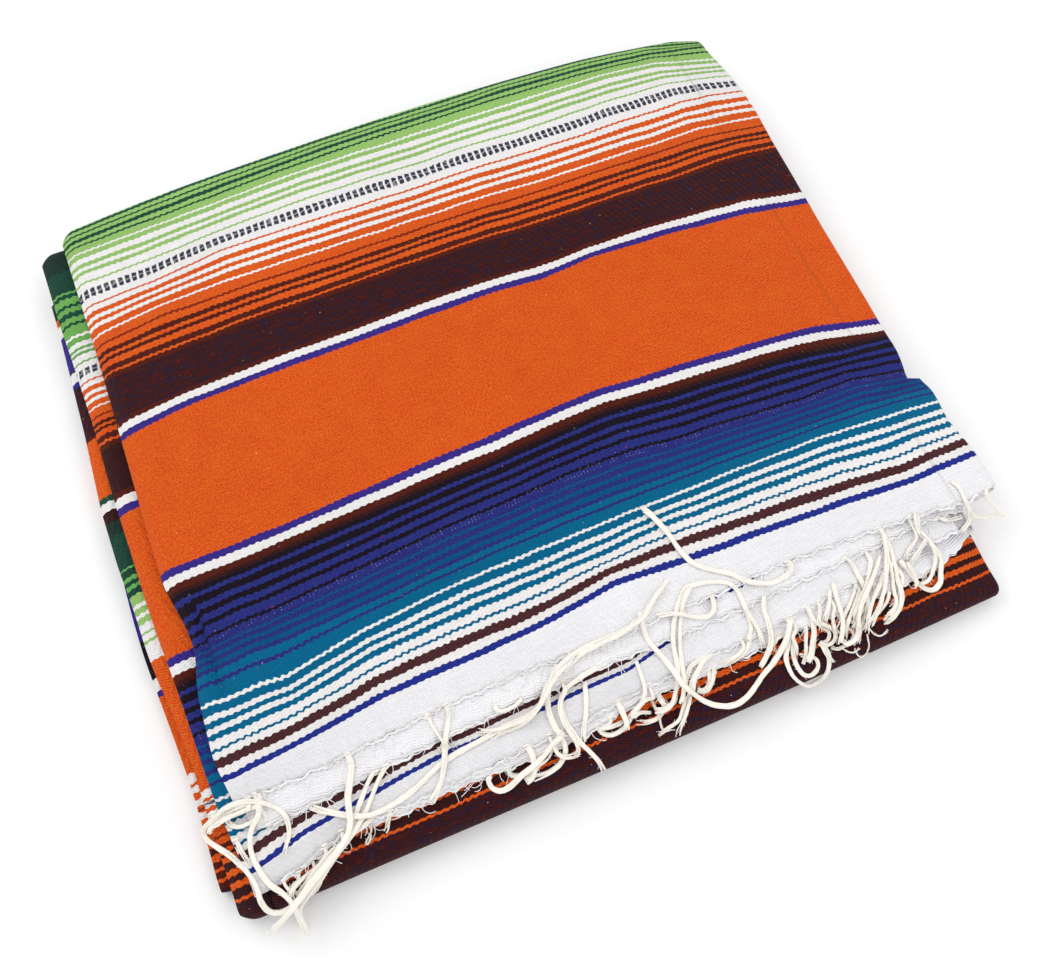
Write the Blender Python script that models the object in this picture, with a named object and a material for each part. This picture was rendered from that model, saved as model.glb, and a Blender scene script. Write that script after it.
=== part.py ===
"""A folded striped serape: one woven cloth, folded once across its width and twice along its length.

x runs along the stripes, from the selvedges (left) to the width fold (right); -y is the fringed front; z is up.
The cloth's path, seen from the left: the top layer runs back from its hem, over the outer back fold and down to
the floor; the middle of the cloth is the low fold at the front; the second end lies between the two.
Working coordinates put x = 0 at the top layer's left edge and y = 0 at its back edge. FRAME moves the whole
stack so that it stands centred on the origin.
"""
import math

import bpy
import numpy as np

# ---- driving sizes, metres -------------------------------------------------------------------------------
WIDTH = 0.600             # folded width, half of the cloth's 1.2 m
LAYER = 0.011             # one doubled layer: two cloths and the air between them
CLOTH = 0.0024            # thickness of the woven wall
SEAM = 0.0003             # gap between pieces that lie on each other
EASE = 0.0006             # gap where a wall lies over the hidden layers
PITCH = CLOTH + SEAM      # one cloth on another, pressed flat
DOME = 0.009              # rise of the soft stack towards its middle
SQUARENESS = 2.6          # of the back folds: 2 is round, more is boxier
TUCK = 0.014              # how far a fold runs on along the floor under the stack
FOLD_DROOP = 0.006        # how far a soft edge turns down
DROOP_RUN = 0.012         # over this width
INSET = 0.008             # hidden edges stand back this far under the edge of the layer above
FRAME = (-0.2905, 0.2752, 0.0)

TRAY_START = -0.458       # from here forward the layers lie as single open ends
OPEN_START = -0.335
RIGHT_OPENING = 0.0062    # height of each open width fold at the front right

# ---- outlines: y of the section, then the left edge of each layer there ------------------------------------
#        y     top    second  third  inner
LEFT_EDGES = (
    (0.000, 0.0000, -0.0225, -0.0265, -0.0270),
    (-0.060, 0.0005, -0.0220, -0.0265, -0.0270),
    (-0.100, 0.0010, -0.0205, -0.0275, -0.0275),
    (-0.160, 0.0005, -0.0190, -0.0292, -0.0290),
    (-0.230, -0.0005, -0.0195, -0.0330, -0.0325),
    (-0.280, -0.0015, -0.0185, -0.0325, -0.0330),
    (-0.320, -0.0010, -0.0180, -0.0300, -0.0340),
    (-0.350, 0.0050, -0.0170, -0.0295, -0.0338),
    (-0.372, 0.0072, -0.0155, -0.0280, -0.0325),
    (-0.400, -0.0005, -0.0140, -0.0245, -0.0305),
    (-0.450, -0.0040, -0.0125, -0.0210, -0.0275),
    (-0.485, 0.0015, -0.0110, -0.0210, -0.0272),
    (-0.530, 0.0020, -0.0050, -0.0195, -0.0280),
    (-0.560, 0.0020, -0.0035, -0.0192, -0.0240),
)
#         y     top    lower layers
RIGHT_EDGES = (
    (0.000, 0.604, 0.578),
    (-0.020, 0.609, 0.579),
    (-0.050, 0.614, 0.580),
    (-0.080, 0.615, 0.580),
    (-0.120, 0.6115, 0.581),
    (-0.160, 0.6095, 0.581),
    (-0.220, 0.6055, 0.582),
    (-0.300, 0.6020, 0.582),
    (-0.350, 0.5985, 0.582),
    (-0.376, 0.5935, 0.582),
    (-0.395, 0.6010, 0.582),
    (-0.420, 0.6045, 0.582),
    (-0.450, 0.6090, 0.582),
    (-0.474, 0.6100, 0.582),
    (-0.492, 0.6060, 0.581),
    (-0.540, 0.6040, 0.577),
)
#        x     y of the back edge of the doubled layers
BACK_EDGES = (
    (0.000, 0.0100),
    (0.020, 0.0112),
    (0.060, 0.0134),
    (0.100, 0.0150),
    (0.200, 0.0168),
    (0.250, 0.0180),
    (0.300, 0.0193),
    (0.400, 0.0208),
    (0.500, 0.0219),
    (0.545, 0.0226),
    (0.575, 0.0220),
    (0.592, 0.0200),
    (0.610, 0.0170),
)
#        x     top   under top  second  under second: y of the four hems
HEMS = (
    (0.000, -0.4855, -0.5080, -0.5440, -0.5460),
    (0.030, -0.4853, -0.5060, -0.5385, -0.5405),
    (0.062, -0.4852, -0.5040, -0.5290, -0.5315),
    (0.104, -0.4825, -0.5015, -0.5305, -0.5335),
    (0.159, -0.4795, -0.4985, -0.5290, -0.5330),
    (0.207, -0.4786, -0.4970, -0.5270, -0.5360),
    (0.231, -0.4790, -0.4970, -0.5265, -0.5355),
    (0.284, -0.4809, -0.4970, -0.5215, -0.5280),
    (0.337, -0.4807, -0.4975, -0.5200, -0.5290),
    (0.390, -0.4798, -0.4970, -0.5180, -0.5275),
    (0.430, -0.4785, -0.4960, -0.5150, -0.5270),
    (0.500, -0.4820, -0.4930, -0.5100, -0.5270),
    (0.545, -0.4860, -0.4910, -0.5060, -0.5240),
    (0.575, -0.4910, -0.4930, -0.5060, -0.5110),
    (0.612, -0.4860, -0.4890, -0.5060, -0.5100),
)
HEM_COLUMN = {"top": 1, "under_top": 2, "second": 3, "under_second": 4}
LEFT_COLUMN = {"top": 1, "second": 2, "third": 3, "inner": 4}
FRONT_FOLD_Y = -0.5585    # front of the low fold
INNER_FRONT_Y = -0.5345   # front of the inner cloth's fold, which shows at the left
INNER_BACK_Y = -0.290     # where its edge comes out from under the layer above
THIRD_BACK_Y = -0.040     # where the third layer's edge comes out from under the second
SECOND_START = -0.4748    # the second layer's front strip runs back to here
UNDER_SECOND_START = -0.5056
UNDER_TOP_START = -0.4620  # and the top layer's lower half back to here
THIRD_START = -0.5072     # the low fold's cloth runs back to here

# ---- soft ridges of the top cloth: ends (x, y), half width and height -------------------------------------
RIDGES = (
    (0.060, -0.060, 0.045, -0.300, 0.030, 0.0016),
    (0.300, -0.330, 0.350, -0.030, 0.034, 0.0024),
    (0.430, -0.420, 0.405, -0.250, 0.028, 0.0022),
    (0.160, -0.440, 0.230, -0.330, 0.036, 0.0020),
    (0.520, -0.340, 0.590, -0.350, 0.014, 0.0026),
    (0.470, -0.060, 0.590, -0.052, 0.020, 0.0022),
    (0.100, -0.200, 0.260, -0.235, 0.030, 0.0014),
    (0.440, -0.170, 0.560, -0.215, 0.034, 0.0018),
    (0.045, -0.345, 0.038, -0.440, 0.012, 0.0022),
)

WALL_COLOURS = {
    "orange": (0.86, 0.14, 0.02),
    "teal": (0.0, 0.13, 0.24),
    "dark": (0.05, 0.018, 0.016),
    "cream": (0.90, 0.88, 0.80),
}

# ---- where the walls are cut into cells ----------------------------------------------------------------------
LEFT_RUN = (0.0, 0.003, 0.007, DROOP_RUN)             # distances inside a left edge
COMMON_X = (0.030, 0.075, 0.125, 0.180, 0.235, 0.290, 0.345, 0.400, 0.450, 0.490, 0.520, 0.543, 0.562)
FOLD_ANGLES = (0, 30, 60, 90, 120, 150, 180)           # round a width fold, degrees
TOP_ROWS = (0.0, 0.022, 0.05, 0.09, 0.14, 0.19, 0.25, 0.32, 0.39, 0.46, 0.53, 0.60,
            0.67, 0.74, 0.81, 0.88, 0.94, 1.0)
BACK_ANGLES = (70, 50, 30, 10, -10, -30, -50, -70, -90)
UNDER_ROWS = 2            # rows of the top layer's lower half that lie in front of the hidden layers
SECOND_ROWS = 3           # rows of the second layer's front strip
THIRD_FRONT = (THIRD_START, -0.520, -0.534)
FRONT_ANGLES = (68, 46, 24, 2, -22, -46, -68, -90)
FRONT_LIP = 0.009


# ---- small helpers, all of them good for numbers and for arrays -----------------------------------------------
def smooth(start, end, value):
    t = np.clip((value - start) / (end - start), 0.0, 1.0)
    return t * t * (3.0 - 2.0 * t)


def column(table, key, col, reach=0.008):
    """Read a column of a table at key, with its corners rounded over the given reach."""
    rows = sorted(table)
    keys = [row[0] for row in rows]
    values = [row[col] for row in rows]
    before = np.interp(key - reach, keys, values)
    after = np.interp(key + reach, keys, values)
    return (before + 2.0 * np.interp(key, keys, values) + after) / 4.0


def left_edge(y, layer):
    return column(LEFT_EDGES, y, LEFT_COLUMN[layer])


def right_edge(y, layer="top"):
    return column(RIGHT_EDGES, y, 1 if layer == "top" else 2)


def hem(x, name):
    return column(HEMS, x, HEM_COLUMN[name], 0.012)


def back_edge(x):
    return column(BACK_EDGES, x, 1, 0.016)


def back_centre(x):
    """y of the axis that the back folds turn about."""
    return back_edge(x) - 2 * LAYER


# ---- heights of the layers -------------------------------------------------------------------------------
def fold_top(x):
    """Top of the third layer, which is also the top of the low front fold."""
    swell = 0.0028 * np.sin(math.pi * np.clip(x / WIDTH, 0.0, 1.0))
    return 2 * LAYER + swell - 0.005 * smooth(0.470, 0.575, x)


def open_end(y):
    """0 where the layers are doubled, 1 in front where their open ends lie pressed together."""
    return smooth(OPEN_START, TRAY_START, y)


def right_opening(x):
    return smooth(0.480, 0.575, x)


def ridges(x, y):
    height = 0.0
    for x0, y0, x1, y1, half, rise in RIDGES:
        run_x, run_y = x1 - x0, y1 - y0
        along = ((x - x0) * run_x + (y - y0) * run_y) / (run_x ** 2 + run_y ** 2)
        end_fade = smooth(-0.35, 0.15, along) * smooth(1.35, 0.85, along)
        nearest = np.clip(along, 0.0, 1.0)
        off = np.hypot(x - x0 - nearest * run_x, y - y0 - nearest * run_y)
        height = height + rise * end_fade * np.exp(-(off / half) ** 2)
    return height * smooth(-0.010, -0.050, y)


def dome(x, y):
    across = np.sin(math.pi * np.clip(x / WIDTH, 0.0, 1.0)) ** 0.8
    return DOME * across * (1.0 - 0.25 * smooth(-0.12, 0.0, y))


def level(x, y, name):
    """Height of the upper face of a layer's cloth."""
    base = fold_top(x)
    front = open_end(y)
    opening = RIGHT_OPENING * right_opening(x)
    if name == "inner":
        return 0.5 * base
    if name == "third":
        return base
    if name == "under_second":
        return base + PITCH
    second = base + LAYER * (1.0 - front) + (2 * PITCH + opening) * front
    if name == "second":
        return second
    sag = 0.005 * smooth(0.585, 0.620, x)
    if name == "under_top":
        return second + PITCH + 0.0005 * right_opening(x) - 0.4 * sag
    doubled = 2 * LAYER + dome(x, y)
    pressed = 4 * PITCH + 2 * opening
    return base + doubled * (1.0 - front) + pressed * front - sag + ridges(x, y)


def edge_droop(distance, y):
    """How far a soft edge has turned down at this distance inside it; the pressed open ends lie flat."""
    inside = np.clip(1.0 - distance / DROOP_RUN, 0.0, 1.0)
    return FOLD_DROOP * inside * inside * (1.0 - 0.92 * open_end(y))


def wall_limit(y, layer_above):
    """x where a strip ends: it runs in just under the edge of the layer above it."""
    return left_edge(y, layer_above) + INSET


# ---- mesh building ---------------------------------------------------------------------------------------
def add_object(name, vertices, faces, colour, roughness=0.9):
    mesh = bpy.data.meshes.new(name)
    mesh.from_pydata([tuple(float(c) for c in v) for v in vertices], [], faces)
    mesh.validate()
    thing = bpy.data.objects.new(name, mesh)
    bpy.context.collection.objects.link(thing)
    thing.location = FRAME
    material = bpy.data.materials.new(name)
    material.use_nodes = True
    shader = material.node_tree.nodes["Principled BSDF"]
    shader.inputs["Base Color"].default_value = (*WALL_COLOURS[colour], 1.0)
    shader.inputs["Roughness"].default_value = roughness
    shader.inputs["Metallic"].default_value = 0.0
    mesh.materials.append(material)
    mesh.shade_smooth()
    mesh.set_sharp_from_angle(angle=math.radians(40))
    return thing


def add_joined(name, polygons, colour):
    """An object from polygons given as points; points that coincide are one vertex."""
    index = {}
    vertices = []
    faces = []
    for polygon in polygons:
        face = []
        for point in polygon:
            key = tuple(round(float(c) * 1e6) for c in point)
            if key not in index:
                index[key] = len(vertices)
                vertices.append(point)
            if index[key] not in face:
                face.append(index[key])
        if len(face) > 2:
            faces.append(face)
    return add_object(name, vertices, faces, colour)


def cloth_wall(name, outer, inner, used, colour):
    """A closed wall between two grids of points; used[i][j] says which cells of the grid are cloth."""
    rows, cols = len(outer), len(outer[0])

    def cell(i, j):
        return 0 <= i < rows - 1 and 0 <= j < cols - 1 and used[i][j]

    polygons = []
    for i in range(rows - 1):
        for j in range(cols - 1):
            if not cell(i, j):
                continue
            corners = ((i, j), (i + 1, j), (i + 1, j + 1), (i, j + 1))
            polygons.append([outer[a][b] for a, b in corners])
            polygons.append([inner[a][b] for a, b in reversed(corners)])
            borders = ((corners[0], corners[1], cell(i, j - 1)),
                       (corners[1], corners[2], cell(i + 1, j)),
                       (corners[2], corners[3], cell(i, j + 1)),
                       (corners[3], corners[0], cell(i - 1, j)))
            for (a, b), (c, d), joined in borders:
                if not joined:
                    polygons.append([outer[c][d], outer[a][b], inner[a][b], inner[c][d]])
    return add_joined(name, polygons, colour)


def spaced(start, end, count):
    return [start + (end - start) * k / count for k in range(count + 1)]


def width_fold(outer, inner, flat_end, top_z, radius):
    """Append the half turn of a width fold, which starts at flat_end."""
    for angle in FOLD_ANGLES:
        turned = math.radians(angle)
        for points, size in ((outer, radius), (inner, radius - CLOTH)):
            points.append((flat_end + size * math.sin(turned), top_z - radius + size * math.cos(turned)))


def turn_share(angle):
    """0 over the upper half of a back fold, then on to 1 where it meets the floor."""
    return smooth(10.0, 78.0, -angle)


def back_turn(angle):
    """Unit step from the axis of the back folds towards this angle, longer towards the corners."""
    across, up = math.cos(math.radians(angle)), math.sin(math.radians(angle))
    stretch = (abs(across) ** SQUARENESS + abs(up) ** SQUARENESS) ** (-1.0 / SQUARENESS)
    return stretch * across, stretch * up


def wrap_back(x, angle, above, below):
    """A point round the back folds: above and below are its distances from the axis on top and on the floor."""
    across, up = back_turn(angle)
    reach = above + (below - above) * turn_share(angle)
    return (x, back_centre(x) + reach * across, fold_top(x) + reach * up)


def row_y(x, share):
    """y of the rows that the top layer, the second layer's edge and the hidden layers share."""
    start = hem(x, "top")
    return start + (back_centre(x) - start) * share


def sample_y(share):
    """Nominal y of a shared row, where its heights are read."""
    return -0.482 + (back_centre(WIDTH / 2) + 0.482) * share


# ---- the top layer ---------------------------------------------------------------------------------------
def top_section(y):
    """Outer and inner (x, z) points across the top layer at y: left edge, flat, width fold, lower half."""
    left, right = left_edge(y, "top"), right_edge(y)
    front = open_end(y)
    top_right = level(right - 0.008, y, "top")
    under_right = level(right - 0.008, y, "under_top") - CLOTH
    radius = 0.5 * LAYER * (1.0 - front) + 0.5 * (top_right - under_right) * front
    flat_end = right - radius
    xs = [left + run for run in LEFT_RUN] + list(COMMON_X)
    outer, inner = [], []
    for x in xs:
        z = level(x, y, "top") - edge_droop(x - left, y)
        outer.append((x, z))
        inner.append((x, z - CLOTH))
    top_z = level(flat_end, y, "top")
    width_fold(outer, inner, flat_end, top_z, radius)
    low_z = top_z - 2 * radius
    lower = [flat_end - 0.006, min(0.579, flat_end - 0.010)] + list(reversed(COMMON_X))
    lower += [left + 0.012, left + 0.006]
    for x in lower:
        z = level(x, y, "under_top") - CLOTH
        z += (low_z - z) * (1.0 - front + front * smooth(0.581, flat_end, x))
        outer.append((x, z))
        inner.append((x, z + CLOTH))
    return outer, inner


TOP_UPPER = len(LEFT_RUN) + len(COMMON_X)
RETURN_END = TOP_UPPER + len(FOLD_ANGLES)            # so far the lower half follows the width fold everywhere


def build_top():
    """Top layer: hem, flat, outer back fold and a lip on the floor, with the under half's hem in front."""
    sections = [top_section(sample_y(share)) for share in TOP_ROWS]
    count = len(sections[0][0])
    outer, inner = [], []
    for i in range(count):
        under = min(1.0, max(0.0, (i - TOP_UPPER) / (len(FOLD_ANGLES) - 1.0)))
        line_out, line_in = [], []
        for share, (section_out, section_in) in zip(TOP_ROWS, sections):
            for line, section in ((line_out, section_out), (line_in, section_in)):
                x, z = section[i]
                y = row_y(x, share)
                if share <= TOP_ROWS[UNDER_ROWS]:
                    forward = 1.0 - share / TOP_ROWS[UNDER_ROWS]
                    low_y = UNDER_TOP_START + (hem(x, "under_top") - UNDER_TOP_START) * forward
                    y += (low_y - y) * under
                line.append((x, y, z))
        for line, section in ((line_out, sections[-1][0]), (line_in, sections[-1][1])):
            x, z = section[i]
            above = z - fold_top(x)
            below = fold_top(x) - max(0.0, level(x, back_centre(x), "top") - z)
            for angle in BACK_ANGLES:
                line.append(wrap_back(x, angle, above, below))
            line.append((x, back_centre(x) - TUCK, line[-1][2]))
        outer.append(line_out)
        inner.append(line_in)
    rows = len(outer[0])
    used = [[i < RETURN_END or j < UNDER_ROWS for j in range(rows - 1)] for i in range(count - 1)]
    return cloth_wall("top_layer", outer, inner, used, "orange")


# ---- the second layer --------------------------------------------------------------------------------------
def second_line(y, whole):
    """Outer and inner points across the second layer; only its front rows go on past the left strip."""
    left, right = left_edge(y, "second"), right_edge(y, "second")
    limit = wall_limit(y, "top") - SEAM
    xs = [left + run for run in LEFT_RUN] + [limit] + list(COMMON_X)
    outer, inner = [], []
    for x in xs:
        z = level(x, y, "second") - edge_droop(x - left, y)
        outer.append((x, z))
        inner.append((x, z - CLOTH))
    if not whole:
        return outer, inner
    top_right = level(right - 0.006, y, "second")
    low_right = level(right - 0.006, y, "under_second") - CLOTH
    radius = 0.5 * (top_right - low_right)
    flat_end = right - radius
    width_fold(outer, inner, flat_end, top_right, radius)
    for x in list(reversed(COMMON_X)) + [0.012, 0.003, left + 0.004]:
        z = level(x, y, "under_second") - CLOTH
        z += (top_right - 2 * radius - z) * smooth(0.560, 0.572, x)
        outer.append((x, z))
        inner.append((x, z + CLOTH))
    return outer, inner


STRIP_COUNT = len(LEFT_RUN) + 1
INNER_TURN = (70, 50, 30, 10, 0)


def build_second():
    """Second end of the cloth: the strip along its left edge, the front strip and its under half's hem."""
    whole = second_line(-0.500, True)
    upper_count = STRIP_COUNT + len(COMMON_X)
    count = len(whole[0])
    shares = [share for share in TOP_ROWS if sample_y(share) > SECOND_START + 0.004]
    strips = [second_line(sample_y(share), False) for share in shares]
    outer, inner = [], []
    for i in range(count):
        under = min(1.0, max(0.0, (i - upper_count) / (len(FOLD_ANGLES) - 1.0)))
        stop = SECOND_START * (1.0 - under) + UNDER_SECOND_START * under
        line_out, line_in = [], []
        for side, line in ((0, line_out), (1, line_in)):
            x, z = whole[side][i]
            start = hem(x, "second") * (1.0 - under) + hem(x, "under_second") * under
            for y in spaced(start, stop, SECOND_ROWS):
                if i < STRIP_COUNT:
                    x, z = second_line(y, False)[side][i]
                line.append((x, y, z))
            for share, strip in zip(shares, strips):
                x, z = strip[side][min(i, STRIP_COUNT - 1)]
                line.append((x, row_y(x, share), z))
            above = z - fold_top(x)
            for angle in INNER_TURN:
                line.append(wrap_back(x, angle, above, above))
        outer.append(line_out)
        inner.append(line_in)
    rows = len(outer[0])
    used = [[i < STRIP_COUNT - 1 or j < SECOND_ROWS for j in range(rows - 1)] for i in range(count - 1)]
    return cloth_wall("second_layer", outer, inner, used, "teal")


# ---- the low fold: the cloth's middle ----------------------------------------------------------------------
THIRD_RADIUS = 0.0039     # of its width fold


def front_centre(x):
    """y of the axis of the low front fold, whose front bows a little."""
    wave = 0.0022 * np.sin(math.pi * x / 0.95) - 0.0010 * np.cos(9.0 * x)
    return FRONT_FOLD_Y - wave + 0.5 * fold_top(x)


def wrap_front(x, angle, height):
    """A point round the low front fold; height is its distance from the fold's axis."""
    turned = math.radians(angle)
    middle = 0.5 * fold_top(x)
    return (x, front_centre(x) - height * math.cos(turned), middle + height * math.sin(turned))


def third_line(y):
    left, right = left_edge(y, "third"), right_edge(y, "third")
    limit = wall_limit(y, "second") - SEAM
    flat_end = right - THIRD_RADIUS
    outer, inner = [], []
    for x in [left + run for run in LEFT_RUN] + [limit, 0.003, 0.012] + list(COMMON_X):
        z = level(x, y, "third") - edge_droop(x - left, 0.0)
        outer.append((x, z))
        inner.append((x, z - CLOTH))
    top_z = level(flat_end, y, "third")
    width_fold(outer, inner, flat_end, top_z, THIRD_RADIUS)
    for back in (0.003, 0.006):
        outer.append((flat_end - back, top_z - 2 * THIRD_RADIUS))
        inner.append((flat_end - back, top_z - 2 * THIRD_RADIUS + CLOTH))
    return outer, inner


def build_third():
    """Third layer: the strip along its left edge, and the low fold that comes round to the floor in front."""
    shares = [share for share in TOP_ROWS[::-1] if SECOND_START < sample_y(share) < THIRD_BACK_Y + 0.006]
    strip_rows = [(sample_y(share), share) for share in shares]
    strip_rows += [(y, None) for y in (SECOND_START, -0.490, UNDER_SECOND_START + 0.0008)]
    rows_y = strip_rows + [(y, None) for y in THIRD_FRONT]
    lines = [third_line(y) for y, _ in rows_y]
    last = third_line(-0.548)
    count = len(last[0])
    outer, inner = [], []
    for i in range(count):
        line_out, line_in = [], []
        for side, line in ((0, line_out), (1, line_in)):
            for (y, share), section in zip(rows_y, lines):
                x, z = section[side][i]
                line.append((x, y if share is None else row_y(x, share), z))
            x, z = last[side][i]
            line.append((x, front_centre(x), z))
            for angle in FRONT_ANGLES:
                line.append(wrap_front(x, angle, z - 0.5 * fold_top(x)))
            line.append((x, front_centre(x) + FRONT_LIP, line[-1][2]))
        outer.append(line_out)
        inner.append(line_in)
    rows = len(outer[0])
    used = [[i < STRIP_COUNT - 1 or j >= len(strip_rows) for j in range(rows - 1)] for i in range(count - 1)]
    return cloth_wall("middle_fold", inner, outer, used, "dark")


def inner_line(y):
    left = left_edge(y, "inner")
    limit = max(wall_limit(y, "third") - SEAM, left + 0.0085)
    line = []
    for x in (left, left + 0.003, left + 0.006, limit):
        line.append((x, level(x, y, "inner") - 0.3 * edge_droop(x - left, 0.0)))
    return line


def build_inner():
    """The inner cloth of the low fold, whose edge and fold show at the left."""
    shares = [share for share in TOP_ROWS[::-1] if SECOND_START < sample_y(share) < INNER_BACK_Y]
    rows_y = [(sample_y(share), share) for share in shares]
    rows_y += [(y, None) for y in (SECOND_START, -0.490, THIRD_START, -0.520, INNER_FRONT_Y + 0.006)]
    lines = [inner_line(y) for y, _ in rows_y]
    outer, inner = [], []
    for i in range(4):
        line_out, line_in = [], []
        for side, line in ((0, line_out), (1, line_in)):
            for (y, share), section in zip(rows_y, lines):
                x, z = section[i]
                line.append((x, y if share is None else row_y(x, share), z - CLOTH * side))
            x, y, z = line[-1]
            middle = 0.25 * fold_top(x)
            height = z - middle
            for angle in (60, 30, 0, -30, -60, -90):
                turned = math.radians(angle)
                line.append((x, y - height * math.cos(turned), middle + height * math.sin(turned)))
            line.append((x, y + 0.006, line[-1][2]))
        outer.append(line_out)
        inner.append(line_in)
    used = [[True] * (len(outer[0]) - 1) for _ in range(3)]
    return cloth_wall("inner_fold", inner, outer, used, "orange")


# ---- the hidden layers -------------------------------------------------------------------------------------
RISER = 0.5735            # right end of the solid inside the top layer's width fold
NOTCH = 0.5720            # how far the grooves between its right edges go in
LIP = 0.0042              # how far a hidden selvedge stands out


def on_line(points, x, gap):
    """Height this gap under a line of (x, z) points that runs towards +x."""
    return float(np.interp(x, [p[0] for p in points], [p[1] for p in points])) - gap


def lip_block(riser, base, ceiling, lip=1.0):
    """Six points up the left edge of one layer: its lower cloth's selvedge, then the wall up to its tread."""
    room = lip * max(0.0, min(1.0, (ceiling - base) / 0.0045))
    out = riser - LIP * room
    return [(riser, base + 0.0004 * room), (out + 0.0007 * room, base + 0.0005 * room),
            (out, base + 0.0016 * room), (out + 0.0007 * room, base + 0.0027 * room),
            (riser, base + 0.0031 * room), (riser, ceiling)]


def bulge(low, high, reach):
    """Three points up a rounded right edge."""
    return [(NOTCH + 0.4 * (reach - NOTCH), low), (reach, 0.5 * (low + high)), (NOTCH + 0.4 * (reach - NOTCH), high)]


def core_section(y, kind, floor=0.0, share_back=0.0):
    """The upper and the lower half of a section through the hidden layers, each from left to right.

    kind is the wall that covers it: top, under_top, second, under_second or third. share_back is 1 where
    the back folds turn.
    """
    top_out, top_in = top_section(y)
    front_lips = 0.0 if y < INNER_FRONT_Y + 0.015 else 1.0
    second_in = second_line(y, False)[1]
    third_in = third_line(y)[1][:STRIP_COUNT + 2 + len(COMMON_X)]
    upper_in = top_in[:TOP_UPPER + 1]
    under = [(x, level(x, y, "under_top") - CLOTH) for x in (-0.03, 0.0, 0.012) + COMMON_X + (0.579,)]

    def ceiling(x):
        if kind == "top":
            return on_line(upper_in, x, EASE + 0.0005)
        if kind == "under_top":
            return on_line(under, x, EASE)
        if kind == "second":
            return on_line(second_in, x, EASE)
        if kind == "under_second":
            return level(x, y, "third") - EASE
        return on_line(third_in, x, EASE)

    second_left, top_left = left_edge(y, "second"), left_edge(y, "top")
    riser_2, riser_3 = second_left + INSET, top_left + INSET
    riser_1 = left_edge(y, "third") + INSET
    riser_1 += (riser_2 - riser_1) * max(share_back, smooth(-0.060, -0.034, y))
    riser_0 = left_edge(y, "inner") + INSET
    riser_0 += (riser_3 - riser_0) * max(share_back, smooth(-0.100, -0.020, y))
    if front_lips == 0.0:
        riser_0 = riser_1
    axis_z = fold_top(riser_2)
    strip_there = smooth(THIRD_BACK_Y + 0.028, THIRD_BACK_Y + 0.006, y)
    tread_1 = axis_z - (axis_z - on_line(third_in, riser_2, EASE)) * strip_there
    corner_1 = axis_z - (axis_z - on_line(third_in, riser_1, EASE)) * strip_there
    tread_1, corner_1 = min(tread_1, ceiling(riser_2)), min(corner_1, ceiling(riser_1))
    start = (riser_2, tread_1)
    tread_z = on_line(second_in, riser_2, EASE)
    low_kind = kind in ("under_second", "third")
    block_2 = lip_block(riser_2, axis_z, tread_z, smooth(-0.503, -0.491, y))
    block_3 = lip_block(riser_3, on_line(second_line(y, False)[0], riser_3, 0.0), on_line(upper_in, riser_3, EASE))
    treads = [(x, on_line(second_in, x, EASE)) for x in (second_left + DROOP_RUN, riser_3)]
    if low_kind:
        block_2 = [(riser_2, ceiling(riser_2))] * 6
    if kind != "top":
        block_3 = [(riser_3, ceiling(riser_3))] * 6
    if low_kind:
        treads = [(x, ceiling(x)) for x, _ in treads]
    surface = [(x, ceiling(x)) for x in (top_left + DROOP_RUN,) + COMMON_X]
    reach = right_edge(y, "second") - 0.001
    middle_z = fold_top(NOTCH)
    end_x = RISER if kind in ("top", "under_top") else 0.5670
    end_z = ceiling(end_x)
    if kind == "top":
        return_z = min(p[1] for p in top_out[TOP_UPPER:RETURN_END]) - EASE
        hump = bulge(middle_z + 0.0004, min(return_z, middle_z + LAYER), reach)
        riser_points = [(end_x, end_z + (return_z - end_z) * k / 4) for k in range(5)]
    elif kind == "under_top":
        hump = bulge(middle_z + 0.0004, end_z - 0.0004, reach)
        riser_points = [(end_x - 0.002 + 0.0005 * k, end_z) for k in range(5)]
    else:
        hump = [(end_x, end_z - (end_z - middle_z + 0.001) * (0.8 - 0.2 * k)) for k in range(3)]
        riser_points = [(end_x - 0.002 + 0.0005 * k, end_z) for k in range(5)]
    end = (NOTCH if kind in ("top", "under_top") else end_x, min(middle_z, end_z))
    upper = [start] + block_2 + treads + block_3 + surface + riser_points + list(reversed(hump)) + [end]
    if low_kind:
        drop = end_z
        upper = upper[:-4] + [(end_x, drop - 0.0004 * k) for k in range(1, 4)] + [(end_x, drop - 0.002)]
        end = upper[-1]

    # the lower half: the third layer's edge, the bottom layer's edge and the floor
    inner_there = smooth(INNER_BACK_Y + 0.055, INNER_BACK_Y + 0.028, y)
    inner_tread = level(riser_1, y, "inner")
    strip = [(x, z - CLOTH) for x, z in inner_line(y)]
    inner_tread -= (inner_tread - on_line(strip, riser_1, EASE)) * inner_there
    block_1 = lip_block(riser_1, level(riser_1, y, "inner"), corner_1, front_lips)
    corner_0 = inner_tread - 0.0012 * inner_there
    block_0 = lip_block(riser_0, floor, corner_0, front_lips if floor == 0.0 else 0.0)
    block_0[:2] = [(riser_0 + 0.001, floor), (block_0[1][0], floor)]
    down = list(reversed(block_1))
    between = [(riser_1, inner_tread), (0.5 * (riser_0 + riser_1), 0.5 * (inner_tread + corner_0))]
    floor_points = [(x, floor) for x in (top_left + DROOP_RUN,) + COMMON_X]
    half_z = 0.5 * middle_z
    if low_kind:
        right_side = [(end_x, floor + (end[1] - floor) * k / 8) for k in range(8)] + [end]
    else:
        upper_hump = bulge(half_z + 0.0004, middle_z - 0.0004, reach)
        if floor > 0.0:
            low = [(RISER, floor + 0.001 * k) for k in range(4)]
            groove = [(RISER, half_z - 0.001)]
            upper_hump[0] = (RISER, half_z + 0.0006)
        else:
            low = [(NOTCH - 0.002, floor)] + bulge(floor, half_z - 0.0004, reach)
            groove = [(NOTCH, half_z)]
        right_side = low + groove + upper_hump + [end]
    lower = [start] + down + between + list(reversed(block_0)) + floor_points + right_side
    return upper, lower


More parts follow.
